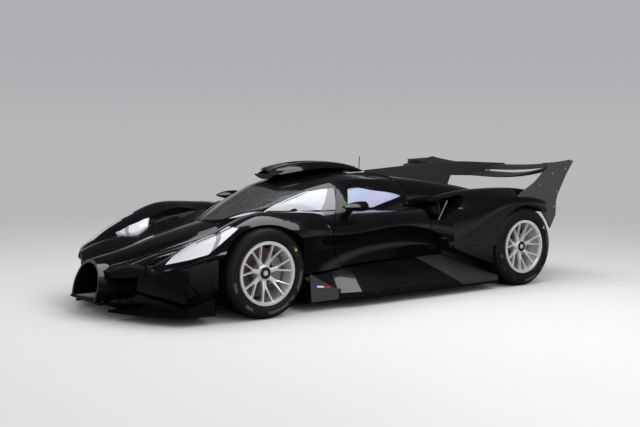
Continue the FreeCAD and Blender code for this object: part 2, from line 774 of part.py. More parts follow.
def suspension():
    """Wishbones of all four corners, with the ball housings that hold the knuckles."""
    arms = []
    for axle_x, radius, inner in ((FRONT_AXLE_X, FRONT_TYRE_R, 562), (REAR_AXLE_X, REAR_TYRE_R, 156)):
        for height, spread, clear in ((BALL_UPPER, 150, 18), (BALL_LOWER, 190, -18)):
            z = radius + height + clear
            ball = Part.makeCylinder(20, 24, Vector(axle_x, KINGPIN_Y, z - 12), Vector(0, 0, 1))
            for sign in (-1, 1):
                ball = ball.fuse(rod((axle_x + sign * spread, inner, z), (axle_x, KINGPIN_Y, z), 11))
            arms.append(ball)
        if axle_x < 0:
            arms.append(rod((axle_x, 156, radius), (axle_x, 704, radius), 20))
    return both_sides(*arms)


def upright(axle_x, radius):
    """Knuckle with its stub axle and the brake caliper behind it."""
    body = block(axle_x - 32, axle_x + 32, KINGPIN_Y - 24, KINGPIN_Y + 24,
                 radius + BALL_LOWER, radius + BALL_UPPER)
    stub = Part.makeCylinder(AXLE_R, 880 - KINGPIN_Y, Vector(axle_x, KINGPIN_Y, radius), Vector(0, 1, 0))
    low_y = DISC_Y - DISC_THICK / 2 - 22
    width = DISC_THICK + 44
    ring = Part.makeCylinder(DISC_R + 14, width, Vector(axle_x, low_y, radius), Vector(0, 1, 0))
    ring = ring.cut(Part.makeCylinder(DISC_R - 62, width, Vector(axle_x, low_y, radius), Vector(0, 1, 0)))
    groove = Part.makeCylinder(DISC_R + 6, DISC_THICK + 12,
                               Vector(axle_x, DISC_Y - DISC_THICK / 2 - 6, radius), Vector(0, 1, 0))
    wedge = block(axle_x - 260, axle_x - 80, low_y, low_y + width, radius - 100, radius + 100)
    caliper = ring.cut(groove).common(wedge)
    arm = block(axle_x - 170, axle_x, KINGPIN_Y - 14, low_y + 12, radius - 34, radius + 34)
    return body.fuse(stub).fuse(arm.cut(groove)).fuse(caliper).removeSplitter()


# Wheels

def ring_profile(pairs, axle_x, radius):
    """A revolved ring from (y, distance from the axle) points."""
    face = polygon([(axle_x, y, radius + r) for y, r in pairs])
    return face.revolve(Vector(axle_x, 0, radius), Vector(0, 1, 0), 360)


def tyre(axle_x, radius, wheel_y, width):
    """Slick tyre with rounded shoulders and an open bead."""
    half = width / 2
    pairs = [(-half + 22, RIM_R + 3), (-half + 4, RIM_R + 22), (-half, RIM_R + 52), (-half + 6, radius - 26),
             (-half + 26, radius - 6), (-half + 52, radius), (half - 52, radius), (half - 26, radius - 6),
             (half - 6, radius - 26), (half, RIM_R + 52), (half - 4, RIM_R + 22), (half - 22, RIM_R + 3)]
    return ring_profile([(wheel_y + y, r) for y, r in pairs], axle_x, radius)


def rim(axle_x, radius, wheel_y, width):
    """Barrel, seven forked spokes and the centre nut."""
    half = width / 2
    face_y = wheel_y + half - 20
    pairs = [(-half + 16, 226), (-half + 16, RIM_R + 2), (-half + 30, RIM_R - 2), (half - 34, RIM_R - 2),
             (half - 20, RIM_R + 2), (half - 8, RIM_R + 2), (half - 8, 226), (half - 40, 219),
             (-half + 60, 219)]
    barrel = ring_profile([(wheel_y + y, r) for y, r in pairs], axle_x, radius)
    hub = Part.makeCylinder(62, 72, Vector(axle_x, face_y - 122, radius), Vector(0, 1, 0))
    nut = Part.makeCylinder(44, 34, Vector(axle_x, face_y - 50, radius), Vector(0, 1, 0))
    shape = barrel.fuse(hub).fuse(nut)
    for i in range(SPOKES):
        turn = 360.0 * i / SPOKES
        for sign in (-1, 1):
            spread = math.radians(SPOKE_FORK) * sign
            tip = Vector(RIM_R * math.sin(spread) - 10 * math.sin(spread), 0, (RIM_R - 12) * math.cos(spread))
            across = 9
            root = Vector(sign * 8, 0, 48)
            points = [(root.x - across, face_y - 92, root.z), (root.x + across, face_y - 92, root.z),
                      (tip.x + across, face_y - 10, tip.z), (tip.x - across, face_y - 10, tip.z)]
            spoke = polygon(points).extrude(Vector(0, -26, 0))
            spoke.Placement = Placement(Vector(axle_x, 0, radius), Rotation(Vector(0, 1, 0), turn))
            shape = shape.fuse(spoke)
    bore = Part.makeCylinder(AXLE_R + 6, 400, Vector(axle_x, face_y - 300, radius), Vector(0, 1, 0))
    bore = bore.common(block(axle_x - 60, axle_x + 60, face_y - 300, face_y - 40, radius - 60, radius + 60))
    return shape.cut(bore)


def disc(axle_x, radius, wheel_y, width):
    """Brake disc with its bell, which reaches the wheel's hub."""
    hub_y = wheel_y + width / 2 - 20 - 122
    plate_start = Vector(axle_x, DISC_Y - DISC_THICK / 2, radius)
    plate = Part.makeCylinder(DISC_R, DISC_THICK, plate_start, Vector(0, 1, 0))
    bell = Part.makeCylinder(80, hub_y - DISC_Y, Vector(axle_x, DISC_Y, radius), Vector(0, 1, 0))
    bore = Part.makeCylinder(AXLE_R + 6, 300, Vector(axle_x, 700, radius), Vector(0, 1, 0))
    return plate.fuse(bell).cut(bore)


# Doors

def mirror():
    """Teardrop mirror on a short stalk from the door."""
    sections = []
    for x, half_y, half_z in ((640, 22, 9), (560, 48, 32), (430, 52, 38)):
        y, z = 970, 800
        sections.append([[(x, y - half_y, z), (x, y, z + half_z), (x, y + half_y, z)],
                         [(x, y + half_y, z), (x, y, z - half_z), (x, y - half_y, z)]])
    pod = loft(sections)
    stalk = polygon([(592, 850, 700), (522, 850, 700), (508, 960, 790), (578, 960, 790)])
    stalk = stalk.extrude(Vector(0, 0, 12))
    return pod.fuse(stalk).cut(side_form()).cut(cabin_form(0))


def door():
    """Door shell with its window cut out."""
    zone = door_zone(PANEL_GAP / 2)
    rear_wall = block(-345, -200, 300, 627, 600, 702)
    shell = cabin_shell().common(zone).cut(door_glass_zone()).cut(rear_wall)
    lower = side_form().common(zone)
    shape = shell.fuse(lower)
    keep = block(-700, 900, ROOF_HALF + PANEL_GAP, 1100, 200, 1100)
    return shape.common(keep).fuse(mirror())


def door_glass():
    """Window of one door, inside its frame."""
    inner = cabin_form(8).cut(cabin_form(16))
    return inner.common(door_glass_zone())


def windscreen():
    """Wrap-around front glass."""
    return cabin_form(2).cut(cabin_form(12)).common(windscreen_zone())


def quarter_glass():
    """Long fixed windows ahead of the doors."""
    pane = cabin_form(2).cut(cabin_form(12)).common(quarter_zone()).cut(windscreen_zone())
    return both_sides(pane)


def cabin_frame():
    """Fixed frame of the cabin: pillars, roof and rear bulkhead edge."""
    zone = door_zone(-PANEL_GAP / 2)
    opening = zone.cut(block(-900, 900, 0, ROOF_HALF, 0, 1200))
    shell = cabin_shell()
    for cutter in (windscreen_zone(), quarter_zone(), mirrored(quarter_zone()), opening, mirrored(opening)):
        shell = shell.cut(cutter)
    return shell


def roof_scoop():
    """Long air scoop on the roof with its open mouth, and the aerial behind it."""
    sections = []
    for x, half, low, top in ((745, 150, 985, 1056), (600, 190, 990, 1098), (374, 190, 1014, 1125),
                              (104, 150, 1028, 1121), (-293, 60, 1030, 1044)):
        mid = (low + top) / 2
        sections.append([[(x, -half, mid), (x, -half * 0.7, top - 4), (x, 0, top), (x, half * 0.7, top - 4),
                          (x, half, mid)], [(x, half, mid), (x, 0, low), (x, -half, mid)]])
    body = loft(sections)
    mouth = block(640, 900, -165, 165, 1030, 1062)
    aerial = rod((-280, 0, 1030), (-287, 0, 1165), 4)
    return body.cut(mouth).fuse(aerial).cut(cabin_form(0))


os.makedirs("parts", exist_ok=True)
PIECES = {
    "floor_and_splitter": floor_and_splitter,
    "nose": nose,
    "nose_grille": nose_grille,
    "tow_eye": tow_eye,
    "bonnet": bonnet,
    "front_fenders": lambda: both_sides(front_fender()),
    "headlamps": lambda: both_sides(headlamp()),
    "cockpit_tub": cockpit_tub,
    "seats": lambda: both_sides(seat(SEAT_Y)),
    "dashboard": dashboard,
    "steering_wheel": steering_wheel,
    "cabin_frame": cabin_frame,
    "fixed_glass": lambda: Part.makeCompound([windscreen(), quarter_glass()]),
    "roof_scoop": roof_scoop,
    "rear_deck": rear_deck,
    "dorsal_fin": dorsal_fin,
    "rear_fenders": rear_fenders,
    "sills": lambda: both_sides(sills()),
    "engine": engine,
    "suspension": suspension,
    "rear_uprights": lambda: both_sides(upright(REAR_AXLE_X, REAR_TYRE_R)),
    "wing_blades": lambda: Part.makeCompound([wing_main(), wing_flap()]),
    "endplates": lambda: both_sides(endplate()),
    "diffuser": diffuser,
    "tail_panel": tail_panel,
    "tail_lamps": lambda: both_sides(tail_lamps()[0].fuse(tail_lamps()[1])),
    "exhausts": exhausts,
}
for piece_name, make in PIECES.items():
    save(piece_name, make())

WHEELS = (("front", FRONT_AXLE_X, FRONT_TYRE_R, FRONT_WHEEL_Y, FRONT_TYRE_W),
          ("rear", REAR_AXLE_X, REAR_TYRE_R, REAR_WHEEL_Y, REAR_TYRE_W))
for end, *place in WHEELS:
    for piece_name, make in (("tyre", tyre), ("rim", rim), ("disc", disc)):
        left = make(*place)
        save(f"{piece_name}_{end}_left", left)
        save(f"{piece_name}_{end}_right", mirrored(left))

for piece_name, make in (("knuckle_front", lambda: upright(FRONT_AXLE_X, FRONT_TYRE_R)),
                         ("door", door), ("door_glass", door_glass)):
    left = make()
    save(f"{piece_name}_left", left)
    save(f"{piece_name}_right", mirrored(left))
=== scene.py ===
"""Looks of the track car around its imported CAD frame. Metres, +X forward, +Y to the car's left."""

import math

import bmesh
import bpy
from mathutils import Matrix, Vector
from mathutils.bvhtree import BVHTree


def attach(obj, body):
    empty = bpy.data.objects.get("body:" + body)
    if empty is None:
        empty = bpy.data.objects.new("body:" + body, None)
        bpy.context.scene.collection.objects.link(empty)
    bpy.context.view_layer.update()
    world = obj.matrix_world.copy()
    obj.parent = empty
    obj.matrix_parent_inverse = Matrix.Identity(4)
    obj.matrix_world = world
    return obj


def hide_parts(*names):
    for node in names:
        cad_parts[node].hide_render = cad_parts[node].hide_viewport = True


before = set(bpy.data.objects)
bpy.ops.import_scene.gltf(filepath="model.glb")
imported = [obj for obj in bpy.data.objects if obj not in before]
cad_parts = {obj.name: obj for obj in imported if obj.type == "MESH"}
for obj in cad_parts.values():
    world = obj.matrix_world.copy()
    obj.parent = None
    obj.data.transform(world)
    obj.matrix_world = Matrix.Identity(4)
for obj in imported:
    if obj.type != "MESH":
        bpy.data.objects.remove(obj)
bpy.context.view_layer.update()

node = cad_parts
scene = bpy.context.scene
scene.view_settings.view_transform = "Standard"

# Camera at the photograph's three-quarter view, low beside the left front corner.
# Its place and lens come from the wheels and axles as they appear there.
camera = bpy.data.objects.new("camera", bpy.data.cameras.new("camera"))
scene.collection.objects.link(camera)
camera.location = (5.152, 6.803, 1.344)
heading, tilt = math.radians(-126.286), math.radians(-4.592)
look = Vector((math.cos(heading) * math.cos(tilt), math.sin(heading) * math.cos(tilt), math.sin(tilt)))
camera.rotation_euler = look.to_track_quat("-Z", "Y").to_euler()
camera.data.sensor_width = 36
camera.data.lens = 53.8
camera.data.clip_end = 500
scene.camera = camera


# Studio floor: plain and pale, matt, with no join to the wall. It keeps the car's shadow.
# Paint mirrors it dark near the car and pale further out, as over a studio's dark mat.
class Socket:
    """A node's output that can be added, multiplied and compared, and that makes other nodes."""

    def __init__(self, tree, plug=None):
        self.tree = tree
        self.plug = plug

    def make(self, kind, settings=None, sockets=None, out=0):
        """Adds a node: first its settings, then the values or links of its sockets."""
        made = self.tree.nodes.new(kind)
        for key, value in (settings or {}).items():
            if key == "stops":
                ramp = made.color_ramp
                while len(ramp.elements) < len(value):
                    ramp.elements.new(0.5)
                for stop, (place, shade) in zip(ramp.elements, value):
                    stop.position = place
                    stop.color = (*shade, 1)
            else:
                setattr(made, key, value)
        for key, value in (sockets or {}).items():
            if isinstance(value, Socket):
                self.tree.links.new(value.plug, made.inputs[key])
            else:
                made.inputs[key].default_value = value
        return Socket(self.tree, made.outputs[out] if made.outputs else None)

    def reckon(self, operation, first, second=0.0):
        return self.make("ShaderNodeMath", {"operation": operation}, {0: first, 1: second})

    def __add__(self, other):
        return self.reckon("ADD", self, other)

    __radd__ = __add__

    def __sub__(self, other):
        return self.reckon("SUBTRACT", self, other)

    def __rsub__(self, other):
        return self.reckon("SUBTRACT", other, self)

    def __mul__(self, other):
        return self.reckon("MULTIPLY", self, other)

    __rmul__ = __mul__

    def __truediv__(self, other):
        return self.reckon("DIVIDE", self, other)

    def __pow__(self, other):
        return self.reckon("POWER", self, other)

    def __abs__(self):
        return self.reckon("ABSOLUTE", self)

    def __gt__(self, other):
        return self.reckon("GREATER_THAN", self, other)

    def __lt__(self, other):
        return self.reckon("LESS_THAN", self, other)


def new_finish(name):
    """An empty material and the start of its node tree."""
    finish = bpy.data.materials.new(name)
    finish.use_nodes = True
    finish.node_tree.nodes.clear()
    return finish, Socket(finish.node_tree)


def surface_of(start, sockets):
    """Principled surface from its sockets."""
    return start.make("ShaderNodeBsdfPrincipled", {}, sockets)


def coat_surface(start, sockets):
    """Principled surface, wired to the output."""
    start.make("ShaderNodeOutputMaterial", {}, {"Surface": surface_of(start, sockets)})


def places(start):
    """The three coordinates of a point on the part, in the part's own frame."""
    split = start.make("ShaderNodeSeparateXYZ", {}, {0: start.make("ShaderNodeTexCoord", out="Object")})
    return [Socket(start.tree, split.plug.node.outputs[i]) for i in range(3)]


def cloud(start, size, detail=3.0):
    """Soft noise, about 0 to 1, with blobs of the given size in metres."""
    point = start.make("ShaderNodeTexCoord", out="Object")
    return start.make("ShaderNodeTexNoise", {}, {"Vector": point, "Scale": 1.0 / size, "Detail": detail})


def shade_between(start, mask, low, high):
    """A colour that runs from one shade, or one colour socket, to another with a mask."""
    ends = [value if isinstance(value, Socket) else (*value, 1) for value in (low, high)]
    return start.make("ShaderNodeMix", {"data_type": "RGBA"}, {0: mask, 6: ends[0], 7: ends[1]}, out=2)


def ramp_up(start, value, low, high):
    """0 below one value, 1 above another, and even between."""
    return start.make("ShaderNodeMapRange", {}, {"Value": value, "From Min": low, "From Max": high})


def as_data(name, mesh):
    """Mesh data from a finished bmesh."""
    data = bpy.data.meshes.new(name)
    mesh.to_mesh(data)
    mesh.free()
    return data


floor_radius = 60.0
wall_tone = (0.475, 0.477, 0.49)
mesh = bmesh.new()
bmesh.ops.create_circle(mesh, cap_ends=True, segments=96, radius=floor_radius)
floor = bpy.data.objects.new("studio_floor", as_data("studio_floor", mesh))
scene.collection.objects.link(floor)
floor_finish, start = new_finish("floor_pale")
x, y, z = places(start)
far_out = (x * x + y * y) ** 0.5
glossy = start.make("ShaderNodeLightPath", out="Is Glossy Ray")
seen = start.make("ShaderNodeLightPath", out="Is Camera Ray")
pale = shade_between(start, cloud(start, 1.8), (0.74, 0.735, 0.725), (0.79, 0.785, 0.77))
mat = shade_between(start, ramp_up(start, far_out, 3.2, 5.0), (0.016, 0.017, 0.02), (0.30, 0.30, 0.31))
ground = surface_of(start, {"Base Color": shade_between(start, glossy, pale, mat), "Roughness": 0.9,
                            "Specular IOR Level": 0.1})
away = start.make("ShaderNodeEmission", {}, {"Color": (*wall_tone, 1)})
fade = ramp_up(start, far_out, 6.0, 15.0) * seen
blended = start.make("ShaderNodeMixShader", {}, {0: fade, 1: ground, 2: away})
start.make("ShaderNodeOutputMaterial", {}, {"Surface": blended})
floor.data.materials.append(floor_finish)

# Studio walls: the world, pale grey to the eye and through glass. Paint mirrors a pale wall
# low down and a dark ceiling over it, so that the panels stay black.
world = bpy.data.worlds.new("studio_walls")
scene.world = world
world.use_nodes = True
world.node_tree.nodes.clear()
start = Socket(world.node_tree)
way = start.make("ShaderNodeTexCoord", out="Generated")
height = start.make("ShaderNodeSeparateXYZ", {}, {0: way}, out="Z") * 0.5 + 0.5
mirrored = start.make("ShaderNodeValToRGB", {"stops": [
    (0.0, (0.02, 0.02, 0.022)), (0.50, (0.30, 0.30, 0.31)), (0.56, (0.42, 0.42, 0.435)),
    (0.62, (0.26, 0.26, 0.27)), (0.68, (0.05, 0.05, 0.055)), (1.0, (0.03, 0.03, 0.034))]}, {0: height})
backdrop = start.make("ShaderNodeValToRGB", {"stops": [
    (0.0, wall_tone), (0.502, wall_tone), (0.53, (0.43, 0.433, 0.45)),
    (1.0, (0.33, 0.33, 0.34))]}, {0: height})
seen = start.make("ShaderNodeLightPath", out="Is Camera Ray")
glossy = start.make("ShaderNodeLightPath", out="Is Glossy Ray")
plain = shade_between(start, glossy, (0.60, 0.60, 0.61), mirrored)
sky = start.make("ShaderNodeBackground", {}, {"Color": shade_between(start, seen, plain, backdrop)})
start.make("ShaderNodeOutputWorld", {}, {"Surface": sky})

# Soft boxes: a long broad one overhead, which draws the grey sheen along the crests, and two
# smaller ones at the left and in front.
for name, place, aim, size, power in (
        ("box_overhead", (-0.2, 1.2, 4.4), (0, 0.4, 0), (6.5, 2.4), 150),
        ("box_left", (1.5, 7.0, 3.4), (0.2, 0, 0.5), (4.5, 1.2), 100),
        ("box_front", (7.5, 0.0, 3.4), (1.5, 0, 0.5), (4.5, 2.0), 60)):
    light = bpy.data.lights.new(name, "AREA")
    light.shape = "RECTANGLE"
    light.size, light.size_y = size
    light.energy = power
    box = bpy.data.objects.new(name, light)
    scene.collection.objects.link(box)
    box.location = place
    box.rotation_euler = (Vector(aim) - Vector(place)).to_track_quat("-Z", "X").to_euler()


# Painted panels: nose, bonnet, fenders, engine cover, roof and doors, moulded carbon in deep
# gloss black under clear lacquer. The small fin behind each front wheel is satin, its grey a painted
# reflection. The faces under the bonnet's lip and inside the nose and the side intakes are matt.
def dress(finish, *names):
    """Gives one finish to whole CAD pieces."""
    for name in names:
        mesh = node[name].data
        mesh.materials.clear()
        mesh.materials.append(finish)


def relief(start, strength, depth, height):
    """Fine unevenness of a surface, its depth in metres."""
    return start.make("ShaderNodeBump", {}, {"Strength": strength, "Distance": depth, "Height": height})


def between(value, low, high):
    """1 where a value lies between two others."""
    return (value > low) * (value < high)


paint, start = new_finish("paint_gloss_black")
x, y, z = places(start)
dust = cloud(start, 0.35)
orange_peel = cloud(start, 0.006, 1.0)
# The small fin's grey base colour is painted reflection; its rougher, thinner coat is its satin finish.
winglet_satin_and_painted_sheen = (abs(y) > 0.925) * between(x, 0.66, 0.99) * (z < 0.30)
lip = start.make("ShaderNodeMath", {"operation": "MINIMUM"}, {0: abs(y) * 0.268 + 0.286, 1: 0.398})
under = (x > 1.93) * (abs(y) > 0.2) * (z < lip)
mouth = (x > 2.0) * (abs(y) < 0.2) * (z < 0.19)
intake = between(x, -0.82, -0.44) * between(abs(y), 0.58, 0.865) * between(z, 0.60, 0.82)
matt = start.make("ShaderNodeMath", {"operation": "MAXIMUM"}, {0: under + mouth, 1: intake})
black = shade_between(start, dust, (0.002, 0.002, 0.0025), (0.004, 0.004, 0.005))
coat_surface(start, {"Base Color": shade_between(start, winglet_satin_and_painted_sheen, black, (0.045, 0.046, 0.05)),
                     "Roughness": dust * 0.08 + winglet_satin_and_painted_sheen * 0.2 + 0.18, "Specular IOR Level": 0.10,
                     "Coat Weight": (1.0 - winglet_satin_and_painted_sheen * 0.8) * (1.0 - matt * 0.9), "Coat Roughness": 0.02,
                     "Normal": relief(start, 0.012, 0.002, orange_peel)})
dress(paint, "nose", "bonnet", "front_fenders", "rear_fenders", "rear_deck", "door_left", "door_right",
      "cabin_frame", "floor_and_splitter", "roof_scoop")

# Sills: flat carbon blades bolted along the floor's edge. The front half is lacquered gloss
# black, and the rear half, behind a slanted joint, is left as satin carbon.
sill_paint, start = new_finish("sill_black")
x, y, z = places(start)
dust = cloud(start, 0.2)
joint_x = (z - 0.303) * 1.489 - 0.313
satin = (x < joint_x) * (z < 0.33)
coat_surface(start, {"Base Color": shade_between(start, satin, (0.004, 0.004, 0.005), (0.030, 0.031, 0.034)),
                     "Roughness": satin * 0.25 + dust * 0.06 + 0.2, "Specular IOR Level": 0.3,
                     "Coat Weight": 1.0 - satin, "Coat Roughness": 0.02})
dress(sill_paint, "sills")


# Bare carbon: satin twill on the end plates and tail panel, and a darker one on the fin, wing,
# tub and diffuser. Tows are 3 mm wide and step one over at each row, under a thin satin lacquer.
def toned(shade, tone):
    """A shade made darker by a factor."""
    return tuple(tone * part for part in shade)


twills = []
tow = 0.003
for name, tone in (("carbon_satin_twill", 1.0), ("carbon_dark_twill", 0.42)):
    carbon, start = new_finish(name)
    x, y, z = places(start)
    row = start.make("ShaderNodeMath", {"operation": "FLOOR"}, {0: (x + y * 0.3) / tow})
    column = start.make("ShaderNodeMath", {"operation": "FLOOR"}, {0: (y + z) / tow})
    step = start.make("ShaderNodeMath", {"operation": "FLOORED_MODULO"}, {0: row + column, 1: 4.0})
    over = step < 2.0
    fibre = cloud(start, 0.0012, 1.0)
    haze = cloud(start, 0.4)
    shade = shade_between(start, over * 0.4 + fibre * 0.3 + haze * 0.3, toned((0.030, 0.031, 0.034), tone),
                          toned((0.068, 0.069, 0.074), tone))
    coat_surface(start, {"Base Color": shade, "Roughness": haze * 0.1 + 0.42, "Coat Weight": 0.15,
                         "Coat Roughness": 0.3,
                         "Normal": relief(start, 0.12, 0.0003, over * 0.6 + fibre * 0.2)})
    twills.append(carbon)
carbon, dark_carbon = twills
dress(carbon, "endplates", "tail_panel")
dress(dark_carbon, "cockpit_tub", "dorsal_fin", "wing_blades", "diffuser")


# Winglet stripes: a short painted bar of three plain colours on the small fin behind each front
# wheel. Thin film on the carbon, 14 mm high.
def softened(data, degrees):
    """Smooth shading, with edges sharper than an angle left sharp."""
    data.shade_smooth()
    data.set_sharp_from_angle(angle=math.radians(degrees))
    return data


def place_mesh(name, data, finishes, body, slot, soften=35):
    """Puts mesh data in the scene as one piece that rides on a body."""
    piece = bpy.data.objects.new(name, softened(data, soften))
    scene.collection.objects.link(piece)
    if not data.materials:
        for finish in finishes:
            data.materials.append(finish)
    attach(piece, body)
    return piece


def set_piece(name, mesh, *rest):
    """Puts a finished bmesh in the scene, in the same way."""
    return place_mesh(name, as_data(name, mesh), *rest)


def slab(mesh, corners, depth):
    """A closed plate from its face's corners, given depth along a vector."""
    front = [mesh.verts.new(p) for p in corners]
    back = [mesh.verts.new(Vector(p) + Vector(depth)) for p in corners]
    faces = [mesh.faces.new(front), mesh.faces.new(back[::-1])]
    count = len(corners)
    for i in range(count):
        faces.append(mesh.faces.new((front[i], back[i], back[(i + 1) % count], front[(i + 1) % count])))
    bmesh.ops.recalc_face_normals(mesh, faces=faces)
    return faces


def grained(name, low, high, size, rough, others=None, detail=3.0):
    """A finish whose shade and roughness follow one soft noise."""
    finish, start = new_finish(name)
    grain = cloud(start, size, detail)
    coat_surface(start, {"Base Color": shade_between(start, grain, low, high),
                         "Roughness": grain * rough[0] + rough[1], **(others or {})})
    return finish


sides = (("left", 1), ("right", -1))
stripe_shades = (("stripe_red", (0.50, 0.02, 0.03)), ("stripe_white", (0.75, 0.75, 0.76)),
                 ("stripe_blue", (0.02, 0.05, 0.30)))
stripe_finishes = [grained(name, toned(shade, 0.85), shade, 0.02, (0.1, 0.25), {"Coat Weight": 0.8})
                   for name, shade in stripe_shades]
bar_long, bar_high, bar_rise = 0.062, 0.014, 0.0075
for side, hand in sides:
    mesh = bmesh.new()
    skin_y = hand * 0.933
    for i in range(3):
        back_x, back_z = 0.745 + bar_long * i, 0.176 + bar_rise * i
        front_x, front_z = back_x + bar_long, back_z + bar_rise
        for face in slab(mesh, [(back_x, skin_y, back_z), (front_x, skin_y, front_z),
                                (front_x, skin_y, front_z + bar_high), (back_x, skin_y, back_z + bar_high)],
                         (0, hand * 0.0012, 0)):
            face.material_index = i
    set_piece(f"winglet_stripe_{side}", mesh, stripe_finishes, "chassis", "paint")

# Glazing: a bonded grey polycarbonate windscreen with a black printed edge, and side panes under
# a mirror film that shows white, lavender and light blue, with a bare grey strip at the rear.
glass, start = new_finish("glazing_grey")
x, y, z = places(start)
haze = cloud(start, 0.5)
sweep = cloud(start, 0.30, 1.0)
pane = surface_of(start, {"Base Color": shade_between(start, haze, (0.70, 0.73, 0.74), (0.78, 0.81, 0.82)),
                          "Roughness": haze * 0.03 + 0.01, "Transmission Weight": 1.0, "IOR": 1.25})
# The opaque grey layer mixed into the clear pane, about a fifth of it, is painted light: it brightens the
# panes as the pale backdrop seen through them would.
painted_light_layer = surface_of(start, {"Base Color": shade_between(start, haze, (0.17, 0.175, 0.18), (0.23, 0.235, 0.24)),
                           "Roughness": haze * 0.1 + 0.2})
clear = start.make("ShaderNodeMixShader", {}, {0: haze * 0.1 + 0.18, 1: pane, 2: painted_light_layer})
rainbow = (x * 0.9 + z * 2.2 + sweep * 0.35) * 1.2
tint = start.make("ShaderNodeValToRGB", {"stops": [
    (0.0, (0.36, 0.52, 0.86)), (0.35, (0.52, 0.58, 0.88)), (0.5, (0.66, 0.60, 0.84)),
    (0.62, (0.50, 0.62, 0.88)), (0.8, (0.72, 0.74, 0.86)), (1.0, (0.82, 0.84, 0.88))]},
                  {0: ramp_up(start, rainbow, 1.75, 3.15)})
bare_edge = 0.449 + (0.908 - z) * 0.8
bare_strip = (x < bare_edge) * (x > 0.38)
film = surface_of(start, {"Base Color": shade_between(start, bare_strip, tint, (0.29, 0.295, 0.31)),
                          "Roughness": sweep * 0.05 + 0.06, "Coat Weight": 0.6, "Coat Roughness": 0.01})
ink_shade = shade_between(start, haze, (0.003, 0.003, 0.003), (0.006, 0.006, 0.006))
ink = surface_of(start, {"Base Color": ink_shade, "Roughness": haze * 0.1 + 0.1})
bend_x = 1.002
ahead = x > bend_x
border = (0.437 - (x - 0.623) * 0.155) * (1.0 - ahead) + (0.378 - (x - bend_x) * 0.75) * ahead
outside = abs(y) - border
side_pane = outside > 0.0
printed = abs(outside + 0.004) < 0.007
header = (z > 0.955) * (1.0 - side_pane)
inked = start.make("ShaderNodeMath", {"operation": "MAXIMUM"}, {0: printed, 1: header})
filmed = start.make("ShaderNodeMixShader", {}, {0: side_pane * 0.74, 1: clear, 2: film})
glazed = start.make("ShaderNodeMixShader", {}, {0: inked, 1: filmed, 2: ink})
start.make("ShaderNodeOutputMaterial", {}, {"Surface": glazed})
dress(glass, "fixed_glass", "door_glass_left", "door_glass_right")


# Head lamps: a long white cover moulded with fine lines across, a dark fold that parts it in two
# cells, and a thin bright blade along its upper edge, parted by a black line.
def waves(start, direction, scale):
    """Fine even lines across one direction of the part."""
    point = start.make("ShaderNodeTexCoord", out="Object")
    return start.make("ShaderNodeTexWave", {"bands_direction": direction}, {"Vector": point, "Scale": scale},
                      out="Fac")


lamp, start = new_finish("lamp_clear")
x, y, z = places(start)
lines = waves(start, "Z", 130.0)
cells = cloud(start, 0.05)
fold = x - (1.78 - (z - 0.523) * 0.917)
blade = abs(y) - (0.792 + (1.743 - x) * 0.244)
parting = (abs(blade) < 0.008) * (x < 1.83)
shade = shade_between(start, lines * 0.25 + cells * 0.75, (0.68, 0.69, 0.73), (0.90, 0.91, 0.95))
shade = shade_between(start, (fold > 0.0) * 0.35, shade, (0.60, 0.61, 0.65))
shade = shade_between(start, (abs(fold) < 0.012) * 0.75, shade, (0.16, 0.165, 0.18))
coat_surface(start, {"Base Color": shade_between(start, parting, shade, (0.01, 0.01, 0.012)),
                     "Roughness": lines * 0.08 + 0.16, "Coat Weight": 1.0, "Coat Roughness": 0.02})
dress(lamp, "headlamps")

# Inner lamp windows: on the inner flank of each fender a second pale cover of the same lamp,
# draped on the skin. It spans the joint of bonnet and fender.
skins = {}
over_roof = 1.3


def on_skin(name, start_at, way):
    """Point and outward normal where a ray first meets a CAD piece."""
    if name not in skins:
        mesh = node[name].data
        skins[name] = BVHTree.FromPolygons([v.co for v in mesh.vertices], [p.vertices for p in mesh.polygons])
    return skins[name].ray_cast(Vector(start_at), Vector(way))[:2]


def skin_patch(outline, skin_names, lift, sunk):
    """A thin plate with the given outline from above, draped on the highest of some CAD pieces."""
    mesh = bmesh.new()
    mesh.faces.new([mesh.verts.new((px, py, over_roof)) for px, py in outline])
    bmesh.ops.triangulate(mesh, faces=mesh.faces)
    bmesh.ops.subdivide_edges(mesh, edges=mesh.edges, cuts=4, use_grid_fill=True)
    for vert in mesh.verts:
        found = [on_skin(name, vert.co + Vector((0, nudge, 0)), (0, 0, -1))[0]
                 for name in skin_names for nudge in (0, 0.018, -0.018)]
        vert.co.z = max(hit.z for hit in found if hit is not None) + lift
    for _ in range(5):
        level = {vert: sum(edge.other_vert(vert).co.z for edge in vert.link_edges) / len(vert.link_edges)
                 for vert in mesh.verts}
        for vert in mesh.verts:
            vert.co.z = max(vert.co.z * 0.3 + level[vert] * 0.7, vert.co.z - 0.002)
    bmesh.ops.recalc_face_normals(mesh, faces=mesh.faces)
    if sum(face.normal.z for face in mesh.faces) < 0:
        bmesh.ops.reverse_faces(mesh, faces=mesh.faces)
    bmesh.ops.solidify(mesh, geom=mesh.faces[:], thickness=lift + sunk)
    bmesh.ops.recalc_face_normals(mesh, faces=mesh.faces)
    return mesh


window = [(1.827, 0.601), (1.708, 0.622), (1.613, 0.604), (1.524, 0.592), (1.575, 0.520), (1.703, 0.462),
          (1.787, 0.493)]
for side, hand in sides:
    mesh = skin_patch([(px, hand * py) for px, py in window], ("front_fenders", "bonnet"), 0.004, 0.020)
    set_piece(f"lamp_inner_window_{side}", mesh, [lamp], "chassis", "lens", 25)

# Tail lamps: slim bars of dark red acrylic, moulded with fine upright ribs and let into the
# tail panel.
tail_red, start = new_finish("lamp_red")
rib = waves(start, "Y", 30.0)
coat_surface(start, {"Base Color": shade_between(start, rib, (0.22, 0.005, 0.005), (0.42, 0.01, 0.01)),
                     "Roughness": rib * 0.1 + 0.15, "Coat Weight": 1.0, "Coat Roughness": 0.03})
dress(tail_red, "tail_lamps")

